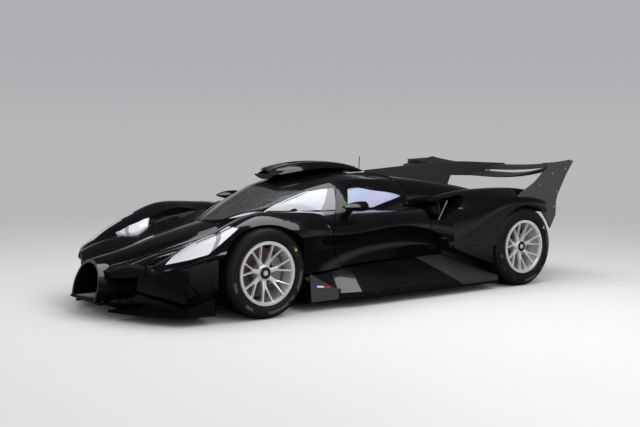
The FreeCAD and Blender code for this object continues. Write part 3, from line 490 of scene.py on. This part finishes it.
# Tyres: slick racing rubber, dull on the tread and faintly shiny on the wall, with moulded
# rings, a worn tan band near the bead and one plain yellow spot. WHEELS gives each end's axle
# (x and z), the wheel's middle and half its width.
WHEELS = (("front", 1.335, 0.340, 0.820, 0.150), ("rear", -1.415, 0.355, 0.800, 0.185))
for end, axle_x, axle_z, wheel_y, half in WHEELS:
    rubber, start = new_finish(f"tyre_rubber_{end}")
    x, y, z = places(start)
    along, high = x - axle_x, z - axle_z
    out_by = (along * along + high * high) ** 0.5
    grain = cloud(start, 0.0025, 2.0)
    scuff = cloud(start, 0.10)
    on_wall = out_by < axle_z - 0.016
    rings = start.make("ShaderNodeMath", {"operation": "SINE"}, {0: out_by * 1400.0}) * on_wall
    worn = (abs(out_by - (axle_z - 0.048)) < 0.012) * (scuff > 0.5) * (high + along * 0.5 < 0.1)
    spot_x, spot_z = along + 0.245, high - 0.16
    spot = ((spot_x * spot_x + spot_z * spot_z) ** 0.5 < 0.009) * (abs(y) > wheel_y + half * 0.5)
    shade = shade_between(start, scuff, (0.005, 0.0055, 0.0065), (0.010, 0.0105, 0.012))
    shade = shade_between(start, worn * 0.55, shade, (0.12, 0.10, 0.075))
    coat_surface(start, {"Base Color": shade_between(start, spot, shade, (0.55, 0.42, 0.03)),
                         "Roughness": grain * 0.15 + 0.45, "Specular IOR Level": 0.22,
                         "Normal": relief(start, 0.25, 0.0006, grain + rings * 0.6)})
    dress(rubber, f"tyre_{end}_left", f"tyre_{end}_right")


# Rims: forged alloy in bright satin silver. A turned barrel with a broad lip carries seven
# forked spokes that fall inwards to the hub.
def closed_up(mesh):
    """Merges doubles and turns every face outwards."""
    bmesh.ops.remove_doubles(mesh, verts=mesh.verts, dist=1e-6)
    bmesh.ops.recalc_face_normals(mesh, faces=mesh.faces)


def turned(mesh, profile, steps, centre=(0, 0, 0)):
    """Closed shape turned about a line along Y, from (y, radius) points. A radius of 0 is a pole."""
    loops = []
    for y, radius in profile:
        if radius == 0:
            loops.append([mesh.verts.new(Vector(centre) + Vector((0, y, 0)))] * steps)
            continue
        arms = [(math.sin(math.tau * k / steps), math.cos(math.tau * k / steps)) for k in range(steps)]
        loops.append([mesh.verts.new(Vector(centre) + Vector((radius * side, y, radius * up)))
                      for side, up in arms])
    for low, high in zip(loops, loops[1:]):
        for k in range(steps):
            after = (k + 1) % steps
            mesh.faces.new(dict.fromkeys((low[k], low[after], high[after], high[k])))
    closed_up(mesh)


def forked_spoke(mesh):
    """One spoke about the origin, pointing up, its front towards +Y: a trunk that parts in two.

    Trunk rows give height, half width, front and back. Prong rows give height, offset, and the same.
    """
    trunk = [(0.056, 0.019, -0.050, -0.082), (0.082, 0.016, -0.047, -0.079), (0.104, 0.0165, -0.043, -0.073)]
    prong = [(0.125, 0.0155, 0.0066, -0.036, -0.064), (0.150, 0.0235, 0.0056, -0.026, -0.052),
             (0.180, 0.0335, 0.0054, -0.014, -0.040), (0.203, 0.0415, 0.0066, -0.007, -0.030),
             (0.217, 0.0460, 0.0105, -0.005, -0.026)]
    rows = []
    for high, half, front, back in trunk:
        edge = front - 0.003
        rows.append([mesh.verts.new((t, y, high)) for t, y in ((-half, edge), (0, front), (half, edge),
                                                               (half, back), (0, back), (-half, back))])
    mesh.faces.new(rows[0])
    for low, high in zip(rows, rows[1:]):
        for k in range(6):
            mesh.faces.new((low[k], high[k], high[(k + 1) % 6], low[(k + 1) % 6]))
    last = rows[-1]
    inner_front = mesh.verts.new((0, -0.041, 0.116))
    inner_back = mesh.verts.new((0, -0.069, 0.116))
    for sign in (-1, 1):
        if sign < 0:
            loop = [last[0], inner_front, inner_back, last[5]]
            mesh.faces.new((last[0], last[1], inner_front))
            mesh.faces.new((last[5], inner_back, last[4]))
        else:
            loop = [inner_front, last[2], last[3], inner_back]
            mesh.faces.new((last[1], last[2], inner_front))
            mesh.faces.new((last[4], inner_back, last[3]))
        for high, off, half, front, back in prong:
            left, right = sign * off - half, sign * off + half
            ring = [mesh.verts.new((t, y, high)) for t, y in ((left, front), (right, front), (right, back),
                                                              (left, back))]
            for k in range(4):
                mesh.faces.new((loop[k], loop[(k + 1) % 4], ring[(k + 1) % 4], ring[k]))
            loop = ring
        mesh.faces.new(loop)
    closed_up(mesh)


def new_shape(name, inputs):
    """An empty Geometry Nodes tree with a base mesh, named inputs and a finish; gives their sockets."""
    tree = bpy.data.node_groups.new(name, "GeometryNodeTree")
    tree.interface.new_socket(name="Mesh", in_out="OUTPUT", socket_type="NodeSocketGeometry")
    for label, kind in (("Base", "Geometry"), *inputs, ("Finish", "Material")):
        tree.interface.new_socket(name=label, in_out="INPUT", socket_type="NodeSocket" + kind)
    entry = tree.nodes.new("NodeGroupInput")
    return tree, [Socket(tree, entry.outputs[i]) for i in range(len(inputs) + 2)]


def end_shape(made, finish):
    """Ends a tree in real mesh with its material."""
    real = made.make("GeometryNodeRealizeInstances", {}, {0: made})
    coated = made.make("GeometryNodeSetMaterial", {}, {"Geometry": real, "Material": finish})
    made.make("NodeGroupOutput", {}, {0: coated})


def copies(points, item, turns=None):
    """A tree's copies of an item at points."""
    copied = points.make("GeometryNodeObjectInfo", {}, {"Object": item}, out="Geometry")
    return points.make("GeometryNodeInstanceOnPoints", {}, {"Points": points, "Instance": copied,
                                                            **(turns or {})})


def grown(tree, values, base=None):
    """Plain mesh that a tree makes from its named values, over an optional base mesh."""
    carrier = bpy.data.objects.new("carrier", base or bpy.data.meshes.new("base"))
    scene.collection.objects.link(carrier)
    modifier = carrier.modifiers.new("shape", "NODES")
    modifier.node_group = tree
    for entry in tree.interface.items_tree:
        if entry.in_out == "INPUT" and entry.name in values:
            modifier[entry.identifier] = values[entry.name]
    solid = carrier.evaluated_get(bpy.context.evaluated_depsgraph_get())
    made = bpy.data.meshes.new_from_object(solid)
    carrier.modifiers.clear()
    bpy.data.objects.remove(carrier)
    return made


def hidden_item(name, mesh):
    """A mesh that a tree copies, kept out of the scene."""
    return bpy.data.objects.new(name, softened(as_data(name, mesh), 35))


silver, start = new_finish("rim_silver")
grain = cloud(start, 0.0015, 2.0)
haze = cloud(start, 0.08)
coat_surface(start, {"Base Color": shade_between(start, haze, (0.74, 0.74, 0.755), (0.86, 0.86, 0.875)),
                     "Metallic": 0.5, "Roughness": haze * 0.1 + 0.26, "Coat Weight": 0.5,
                     "Coat Roughness": 0.05, "Normal": relief(start, 0.05, 0.0003, grain)})
ring_tree, (base, count, centre, item, finish) = new_shape(
    "ring_about_axle", (("Count", "Int"), ("Centre", "Vector"), ("Item", "Object")))
spots = base.make("GeometryNodeMeshLine", {"mode": "OFFSET"}, {"Count": count, "Start Location": centre,
                                                              "Offset": (0, 0, 0)})
index = base.make("GeometryNodeInputIndex")
turn = base.make("ShaderNodeCombineXYZ", {}, {"Y": (index + 0.5) * math.tau / count})
joined = base.make("GeometryNodeJoinGeometry", {}, {0: copies(spots, item, {"Rotation": turn})})
ring_tree.links.new(base.plug, joined.plug.node.inputs[0])
end_shape(joined, finish)

spoke_count = 7
lip_inset = 0.008
mesh = bmesh.new()
forked_spoke(mesh)
bmesh.ops.bevel(mesh, geom=[e for e in mesh.edges if len(e.link_faces) == 2 and e.calc_face_angle() > 0.7],
                offset=0.0016, segments=2, profile=0.6, affect="EDGES")
spoke_item = hidden_item("spoke", mesh)
for end, axle_x, axle_z, wheel_y, half in WHEELS:
    lip = wheel_y + half - lip_inset
    back = wheel_y - half + 0.016
    barrel = [(back, 0.227), (back, 0.239), (back + 0.006, 0.240), (back + 0.016, 0.2365),
              (lip - 0.028, 0.2365), (lip - 0.012, 0.2400), (lip - 0.002, 0.2398), (lip, 0.2385),
              (lip, 0.2180), (lip - 0.002, 0.2160), (lip - 0.010, 0.2135), (lip - 0.026, 0.2125),
              (lip - 0.050, 0.2160), (back + 0.046, 0.2190), (back + 0.010, 0.2230), (back, 0.227)]
    hub = [(lip - 0.132, 0.031), (lip - 0.132, 0.060), (lip - 0.056, 0.062), (lip - 0.050, 0.060),
           (lip - 0.045, 0.0515), (lip - 0.036, 0.0490), (lip - 0.034, 0.0470), (lip - 0.036, 0.0450),
           (lip - 0.060, 0.0445), (lip - 0.060, 0.031), (lip - 0.132, 0.031)]
    for side, hand in sides:
        mesh = bmesh.new()
        turned(mesh, barrel, 96)
        turned(mesh, hub, 64)
        data = grown(ring_tree, {"Count": spoke_count, "Centre": (0, lip, 0), "Item": spoke_item,
                                 "Finish": silver}, softened(as_data("barrel", mesh), 35))
        if hand < 0:
            data.transform(Matrix.Scale(-1, 4, (0, 1, 0)))
            data.flip_normals()
        data.transform(Matrix.Translation((axle_x, 0, axle_z)))
        rim = place_mesh(f"rim_forged_{end}_{side}", data, [silver], f"{end}_wheel_{side}", "rim")
        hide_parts(f"rim_{end}_{side}")

# Wheel nuts: one black anodised centre nut a wheel, screwed on the hub, with a silver hexagon
# key inside, and the tyre valve beside a spoke. Profiles are measured from the rim's lip.
nut_black = grained("nut_black", (0.006, 0.006, 0.007), (0.014, 0.014, 0.015), 0.004, (0.1, 0.3),
                    {"Metallic": 0.3, "Coat Weight": 0.4})
nut = [(-0.059, 0.0), (-0.059, 0.0435), (-0.033, 0.0430), (-0.029, 0.0405), (-0.028, 0.0370),
       (-0.028, 0.0270), (-0.031, 0.0250), (-0.040, 0.0240), (-0.040, 0.0)]
key = [(-0.0395, 0.0), (-0.0395, 0.0215), (-0.031, 0.0205), (-0.029, 0.0185), (-0.029, 0.0095),
       (-0.033, 0.0090), (-0.033, 0.0)]
valve = [(-0.046, 0.0), (-0.046, 0.0050), (-0.030, 0.0050), (-0.026, 0.0038), (-0.010, 0.0038),
         (-0.008, 0.003), (-0.008, 0.0)]
for end, axle_x, axle_z, wheel_y, half in WHEELS:
    lip = wheel_y + half - lip_inset
    for side, hand in sides:
        for label, profile, steps, finish, soften, off_x, off_z in (
                ("wheel_nut", nut, 48, nut_black, 30, 0, 0), ("wheel_key", key, 6, silver, 20, 0, 0),
                ("tyre_valve", valve, 16, nut_black, 30, 0.045, 0.2010)):
            mesh = bmesh.new()
            turned(mesh, [(hand * (lip + y), radius) for y, radius in profile], steps,
                   (axle_x + off_x, 0, axle_z + off_z))
            set_piece(f"{label}_{end}_{side}", mesh, [finish], f"{end}_wheel_{side}", "rim", soften)

# Brake discs: carbon ceramic, brown grey, bolted to the hubs, ground in circles and drilled in
# curved rows about the front or the rear axle.
ceramic, start = new_finish("disc_ceramic")
x, y, z = places(start)
(_, front_x, front_z, _, _), (_, rear_x, rear_z, _, _) = WHEELS
in_front = x > 0.0
along = x - (in_front * (front_x - rear_x) + rear_x)
high = z - (in_front * (front_z - rear_z) + rear_z)
out_by = (along * along + high * high) ** 0.5
turn = start.make("ShaderNodeMath", {"operation": "ARCTAN2"}, {0: high, 1: along})
row = start.make("ShaderNodeMath", {"operation": "FRACT"}, {0: turn * (36 / math.tau) + out_by * 22.0 + 20.0})
column = start.make("ShaderNodeMath", {"operation": "FRACT"}, {0: out_by / 0.020})
drilled = ((row - 0.5) * (row - 0.5) * 2.6 + (column - 0.5) * (column - 0.5)) ** 0.5 < 0.2
grooves = start.make("ShaderNodeMath", {"operation": "SINE"}, {0: out_by * 5200.0})
grain = cloud(start, 0.004, 2.0)
face = shade_between(start, grain, (0.085, 0.060, 0.045), (0.16, 0.12, 0.095))
# The drilled holes are not cut: each is a bump dent coloured near black, and that black is painted shade for
# the dark inside the hole.
holes_with_painted_shade = drilled * (out_by > 0.088)
coat_surface(start, {"Base Color": shade_between(start, holes_with_painted_shade, face, (0.004, 0.004, 0.004)),
                     "Metallic": 0.4, "Roughness": grain * 0.2 + 0.32,
                     "Normal": relief(start, 0.3, 0.0006, grooves * 0.1 - holes_with_painted_shade)})
dress(ceramic, "disc_front_left", "disc_front_right", "disc_rear_left", "disc_rear_right")

# Knuckles, uprights, calipers and engine: cast and machined alloy. The suspension arms are
# black coated steel tube, bolted between them and the tub.
alloy, start = new_finish("alloy_machined")
grain = cloud(start, 0.003, 2.0)
stain = cloud(start, 0.06)
coat_surface(start, {"Base Color": shade_between(start, grain * 0.5 + stain * 0.5, (0.30, 0.30, 0.31),
                                                 (0.46, 0.46, 0.47)),
                     "Metallic": 0.6, "Roughness": grain * 0.2 + 0.34,
                     "Normal": relief(start, 0.2, 0.0004, grain)})
dress(alloy, "knuckle_front_left", "knuckle_front_right", "rear_uprights", "engine")
steel = grained("steel_black", (0.012, 0.012, 0.013), (0.028, 0.028, 0.03), 0.003, (0.2, 0.38),
                {"Metallic": 0.5}, 2.0)
dress(steel, "suspension", "nose_grille")

# Cockpit trim: instrument panel and steering wheel in matt, fine grained moulded plastic. The
# seats' own solids wear the pads' black cloth.
trim, start = new_finish("trim_matt")
grain = cloud(start, 0.002, 1.0)
coat_surface(start, {"Base Color": shade_between(start, grain, (0.015, 0.015, 0.015), (0.03, 0.03, 0.03)),
                     "Roughness": grain * 0.1 + 0.6, "Normal": relief(start, 0.08, 0.0003, grain)})
dress(trim, "dashboard", "steering_wheel")
cloth, start = new_finish("cloth_black")
weave = waves(start, "DIAGONAL", 320.0)
coat_surface(start, {"Base Color": shade_between(start, weave, (0.012, 0.012, 0.012), (0.035, 0.035, 0.036)),
                     "Roughness": weave * 0.1 + 0.8})
dress(cloth, "seats")

# Towing ring in red painted steel, screwed into the nose, and tail pipes in titanium, welded
# and heat tinted towards their ends.
red = grained("ring_red", (0.16, 0.008, 0.008), (0.26, 0.014, 0.014), 0.01, (0.1, 0.4), detail=2.0)
dress(red, "tow_eye")
titanium, start = new_finish("pipe_titanium")
x, y, z = places(start)
burnt = start.make("ShaderNodeValToRGB", {"stops": [
    (0.0, (0.30, 0.18, 0.10)), (0.35, (0.20, 0.16, 0.28)), (0.7, (0.42, 0.38, 0.34)),
    (1.0, (0.50, 0.47, 0.45))]}, {0: (x + 2.15) * 4.0})
coat_surface(start, {"Base Color": burnt, "Metallic": 1.0, "Roughness": cloud(start, 0.05) * 0.15 + 0.22})
dress(titanium, "exhausts")

# Panel fasteners: flush quarter-turn studs along the joints of the body, black on the panels
# and bright steel on the end plates. Each head is a low dome with a dimple.
stud_tree, (base, item, finish) = new_shape("studs_on_skin", (("Item", "Object"),))
lean = base.make("GeometryNodeInputNamedAttribute", {"data_type": "FLOAT_VECTOR"}, {"Name": "lean"})
turn = base.make("FunctionNodeAlignRotationToVector", {"axis": "Y"}, {"Vector": lean})
end_shape(copies(base, item, {"Rotation": turn}), finish)
mesh = bmesh.new()
turned(mesh, [(-0.003, 0.0), (-0.003, 0.0085), (0.0006, 0.0085), (0.0014, 0.0072), (0.0016, 0.0034),
              (0.0005, 0.0030), (0.0005, 0.0)], 14)
stud_item = hidden_item("stud", mesh)
steel_bright = grained("steel_bright", (0.55, 0.55, 0.56), (0.70, 0.70, 0.71), 0.003, (0.15, 0.22),
                       {"Metallic": 0.8})


def studs(name, rows, finish, slot):
    """One piece of studs where rays meet the skins, and their mirror images."""
    spots, leans = [], []
    for skin, starts, (way_x, way_y, way_z) in rows:
        for px, py, pz in starts:
            for hand in (1, -1):
                hit, normal = on_skin(skin, (px, hand * py, pz), (way_x, hand * way_y, way_z))
                if hit is not None:
                    spots.append(hit)
                    leans.append(normal)
    data = bpy.data.meshes.new(name)
    data.from_pydata(spots, [], [])
    column = data.attributes.new("lean", "FLOAT_VECTOR", "POINT")
    for entry, normal in zip(column.data, leans):
        entry.vector = normal
    made = grown(stud_tree, {"Item": stud_item, "Finish": finish}, data)
    place_mesh(name, made, [finish], "chassis", slot)


down, inward, forward = (0, 0, -1), (0, -1, 0), (1, 0, 0)
studs("panel_studs", [
    ("bonnet", [(x, 0.50, 1.2) for x in (2.06, 1.88, 1.70, 1.52, 1.40)], down),
    ("rear_deck", [(x, 0.44, over_roof) for x in (-0.50, -0.72, -0.94, -1.16, -1.38)], down),
    ("rear_fenders", [(x, 0.66, over_roof) for x in (-0.90, -1.10, -1.30, -1.50, -1.64)], down),
    ("tail_panel", [(-2.5, y, z) for y in (0.17, 0.31, 0.45) for z in (0.44, 0.62)], forward),
    ("sills", [(x, 1.3, 0.102) for x in (0.30, 0.05, -0.20, -0.45, -0.70, -0.92)], inward)],
      nut_black, "paint")
studs("end_plate_studs", [("endplates", [(-1.794, 1.3, 1.005), (-1.975, 1.3, 1.048), (-1.86, 1.3, 0.84),
                                         (-1.62, 1.3, 0.90), (-1.82, 1.3, 0.70)], inward)],
      steel_bright, "upright_metal")

# End plate stacks: four thin carbon fins one over another inside the top of each end plate,
# bonded to it, and the two steel brackets that hold the wing's blades at the centre fin.
row_tree, (base, count, first, step_on, item, finish) = new_shape(
    "row_of_items", (("Count", "Int"), ("First", "Vector"), ("Step", "Vector"), ("Item", "Object")))
spots = base.make("GeometryNodeMeshLine", {"mode": "OFFSET"}, {"Count": count, "Start Location": first,
                                                              "Offset": step_on})
end_shape(copies(spots, item), finish)
for side, hand in sides:
    mesh = bmesh.new()
    slab(mesh, [(-1.730, hand * 0.9475, 0), (-1.874, hand * 0.9475, 0), (-1.874, hand * 0.860, 0.002),
                (-1.760, hand * 0.860, 0.002)], (0, 0, 0.0035))
    data = grown(row_tree, {"Count": 4, "First": (0, 0, 1.098), "Step": (0.003, 0, -0.013),
                            "Item": hidden_item(f"stack_fin_{side}", mesh), "Finish": carbon})
    place_mesh(f"end_plate_stack_{side}", data, [carbon], "chassis", "carbon")
    mesh = bmesh.new()
    slab(mesh, [(px, hand * 0.040, pz) for px, pz in ((-1.855, 0.985), (-1.925, 0.995), (-1.975, 1.038),
                                                      (-1.905, 1.026), (-1.870, 1.010))],
         (0, hand * 0.006, 0))
    bmesh.ops.bevel(mesh, geom=mesh.edges[:], offset=0.001, segments=2, affect="EDGES")
    set_piece(f"wing_bracket_{side}", mesh, [steel_bright], "chassis", "upright_metal", 30)

# Scoop ribs: four low ridges that run back over the roof scoop, moulded with its skin. The same
# tree draws round strips along any path of points.
strip_tree, (base, radius, finish) = new_shape("strip_on_path", (("Radius", "Float"),))
line = base.make("GeometryNodeMeshToCurve", {}, {0: base})
smooth = base.make("GeometryNodeCurveSplineType", {"spline_type": "CATMULL_ROM"}, {0: line})
fine_line = base.make("GeometryNodeResampleCurve", {}, {"Curve": smooth, "Count": 48})
ring = base.make("GeometryNodeCurvePrimitiveCircle", {}, {"Resolution": 10, "Radius": radius})
end_shape(base.make("GeometryNodeCurveToMesh", {}, {"Curve": fine_line, "Profile Curve": ring,
                                                    "Fill Caps": True}), finish)


def strips(name, paths, radius, finish, slot):
    """One piece of round strips along paths of points."""
    spots, links = [], []
    for path in paths:
        links += [(len(spots) + k, len(spots) + k + 1) for k in range(len(path) - 1)]
        spots += path
    data = bpy.data.meshes.new(name)
    data.from_pydata(spots, links, [])
    made = grown(strip_tree, {"Radius": radius, "Finish": finish}, data)
    place_mesh(name, made, [finish], "chassis", slot)


def drawn_on(skin, spots, sunk=0.0):
    """Points straight below the given ones on a CAD piece, sunk a little under its skin."""
    found = [on_skin(skin, (px, py, over_roof), down) for px, py in spots]
    return [hit - normal * sunk for hit, normal in found if hit is not None]


scoop_halves = ((0.69, 0.160), (0.60, 0.188), (0.48, 0.190), (0.374, 0.188), (0.24, 0.172), (0.104, 0.148),
                (-0.05, 0.116), (-0.18, 0.085))
strips("scoop_ribs", [drawn_on("roof_scoop", [(rib_x, share * half) for rib_x, half in scoop_halves])
                      for share in (-0.75, -0.28, 0.28, 0.75)], 0.0045, paint, "paint")

# Louvres: rows of low lips across the fenders over the wheels and across the engine cover,
# moulded with the panel and left matt black.
for name, skin, first_x, step_x, count, y_in, y_out in (
        ("fender_louvres", "front_fenders", 1.36, -0.042, 8, 0.765, 0.872),
        ("engine_louvres", "rear_deck", -0.740, -0.044, 10, 0.215, 0.375)):
    for side, hand in sides:
        paths = [drawn_on(skin, [(first_x + step_x * k, hand * (y_in + (y_out - y_in) * share))
                                 for share in (0, 0.25, 0.5, 0.75, 1)], 0.0024) for k in range(count)]
        strips(f"{name}_{side}", paths, 0.0035, trim, "trim")

# Intake trim: a thin bright steel strip bonded along the front edge of the fin in each side
# intake, straight but for the fin's slight bow.
strips("intake_fin_strips", [[(px, hand * 0.8705, pz) for px, pz in ((-0.5535, 0.800), (-0.520, 0.745),
                                                                     (-0.485, 0.690), (-0.450, 0.634))]
                             for hand in (1, -1)], 0.0035, steel_bright, "upright_metal")

# Mirrors: a flat silvered glass let into the back of each door's pod, inside the pod's thin
# black rim.
mirror_glass = grained("mirror_glass", (0.62, 0.64, 0.66), (0.68, 0.70, 0.72), 0.05, (0.03, 0.02),
                       {"Metallic": 1.0})
for side, hand in sides:
    mesh = bmesh.new()
    turns = [math.tau * k / 40 for k in range(40)]
    slab(mesh, [(0.4305, hand * 0.970 + 0.043 * math.cos(turn), 0.800 + 0.030 * math.sin(turn))
                for turn in turns], (-0.003, 0, 0))
    set_piece(f"mirror_glass_{side}", mesh, [mirror_glass], f"door_{side}", "glass", 30)

# Roll cage: black steel tube behind the seats and along the roof, bent to a hoop and two stays
# that are welded to it.
hoop = [(-0.325, 0.455, 0.625), (-0.322, 0.440, 0.760), (-0.318, 0.385, 0.890), (-0.312, 0.270, 0.955)]
hoop += [(-0.310, 0.0, 0.972)] + [(px, -py, pz) for px, py, pz in hoop[::-1]]
stay = ((-0.312, 0.330, 0.930), (0.0, 0.350, 0.935), (0.30, 0.345, 0.915), (0.62, 0.330, 0.850),
        (0.95, 0.262, 0.745))
stays = [[(px, hand * py, pz) for px, py, pz in stay] for hand in (1, -1)]
strips("roll_cage", [hoop] + stays, 0.017, steel, "dark_metal")

# Seats: carbon shells with separate foam pads in black cloth for thighs, back and head, held
# by hook and loop. Each pad swells a little between its edges.
seat_shell = bmesh.new()
seat_shell.from_mesh(node["seats"].data)
bmesh.ops.remove_doubles(seat_shell, verts=seat_shell.verts, dist=1e-5)
bmesh.ops.dissolve_limit(seat_shell, angle_limit=0.02, verts=seat_shell.verts, edges=seat_shell.edges)
bmesh.ops.bevel(seat_shell, geom=[e for e in seat_shell.edges if e.is_manifold and e.calc_face_angle() > 0.5],
                offset=0.006, segments=2, profile=0.6, affect="EDGES", clamp_overlap=True)
seat_piece = set_piece("seat_shells", seat_shell, [carbon], "chassis", "carbon", 30)
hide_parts("seats")


def pad_mesh(centre, size, tilt_deg):
    """Crowned closed pad: thickest in the middle, with sides that pull in between the corners."""
    mesh = bmesh.new()
    long, wide, thick = size
    rows, columns = 16, 12
    turn = Matrix.Rotation(math.radians(tilt_deg), 4, "Y")
    grid = {}
    for top in (0, 1):
        for i in range(rows + 1):
            for j in range(columns + 1):
                if not top and (i in (0, rows) or j in (0, columns)):
                    continue
                u, v = 2 * i / rows - 1, 2 * j / columns - 1
                crown = (1 - u ** 4) * (1 - v ** 4)
                rise = thick * (0.25 + 0.75 * crown ** 0.5) * (0.5 if top else -0.35)
                if top:
                    rise -= 0.004 * math.exp(-((u * 3) % 1 - 0.5) ** 2 * 120) * crown
                edge_u = u * (1 - 0.035 * (1 - v * v))
                edge_v = v * (1 - 0.045 * (1 - u * u))
                spot = turn @ Vector((edge_u * long / 2, edge_v * wide / 2, rise))
                grid[top, i, j] = mesh.verts.new(Vector(centre) + spot)
    for top in (0, 1):
        for i in range(rows):
            for j in range(columns):
                corners = [grid.get((top, a, b)) or grid[1, a, b]
                           for a, b in ((i, j), (i + 1, j), (i + 1, j + 1), (i, j + 1))]
                mesh.faces.new(corners if top else corners[::-1])
    bmesh.ops.recalc_face_normals(mesh, faces=mesh.faces)
    return mesh


for side, hand in sides:
    seat_y = hand * 0.255
    for part, centre, size, tilt in (("thigh", (0.305, seat_y, 0.270), (0.320, 0.350, 0.050), -7.5),
                                     ("back", (-0.012, seat_y, 0.500), (0.420, 0.350, 0.046), 62.5),
                                     ("head", (-0.142, seat_y, 0.815), (0.120, 0.240, 0.040), 72)):
        pad = set_piece(f"seat_pad_{part}_{side}", pad_mesh(centre, size, tilt), [cloth], "chassis",
                        "seat_cloth", 180)
        soft = pad.modifiers.new("soft", "SUBSURF")
        soft.levels = soft.render_levels = 1

# Tail: a screen of crossed steel wires in a round frame over the engine bay, and a slim red
# rain lamp clipped to the tail panel.
mesh = bmesh.new()
for lean in (0.13, -0.13):
    slab(mesh, [(0, lean, -0.125), (0, lean + 0.004, -0.125), (0.002, lean + 0.004, -0.125),
                (0.002, lean, -0.125)], (0, -2 * lean, 0.25))
data = grown(row_tree, {"Count": 27, "First": (-1.600, -0.338, 0.610), "Step": (0, 0.026, 0),
                        "Item": hidden_item("screen_wire", mesh), "Finish": steel})
place_mesh("engine_screen", data, [steel], "chassis", "dark_metal")
strips("engine_screen_frame", [[(-1.599, -0.47, edge_z), (-1.599, 0.47, edge_z)]
                               for edge_z in (0.485, 0.735)], 0.006, steel, "dark_metal")
mesh = bmesh.new()
slab(mesh, [(-2.1005, -0.080, 0.536), (-2.1005, 0.080, 0.536), (-2.1005, 0.080, 0.554),
            (-2.1005, -0.080, 0.554)], (-0.010, 0, 0))
bmesh.ops.bevel(mesh, geom=mesh.edges[:], offset=0.002, segments=2, affect="EDGES")
set_piece("rain_lamp", mesh, [tail_red], "chassis", "red_lens", 30)
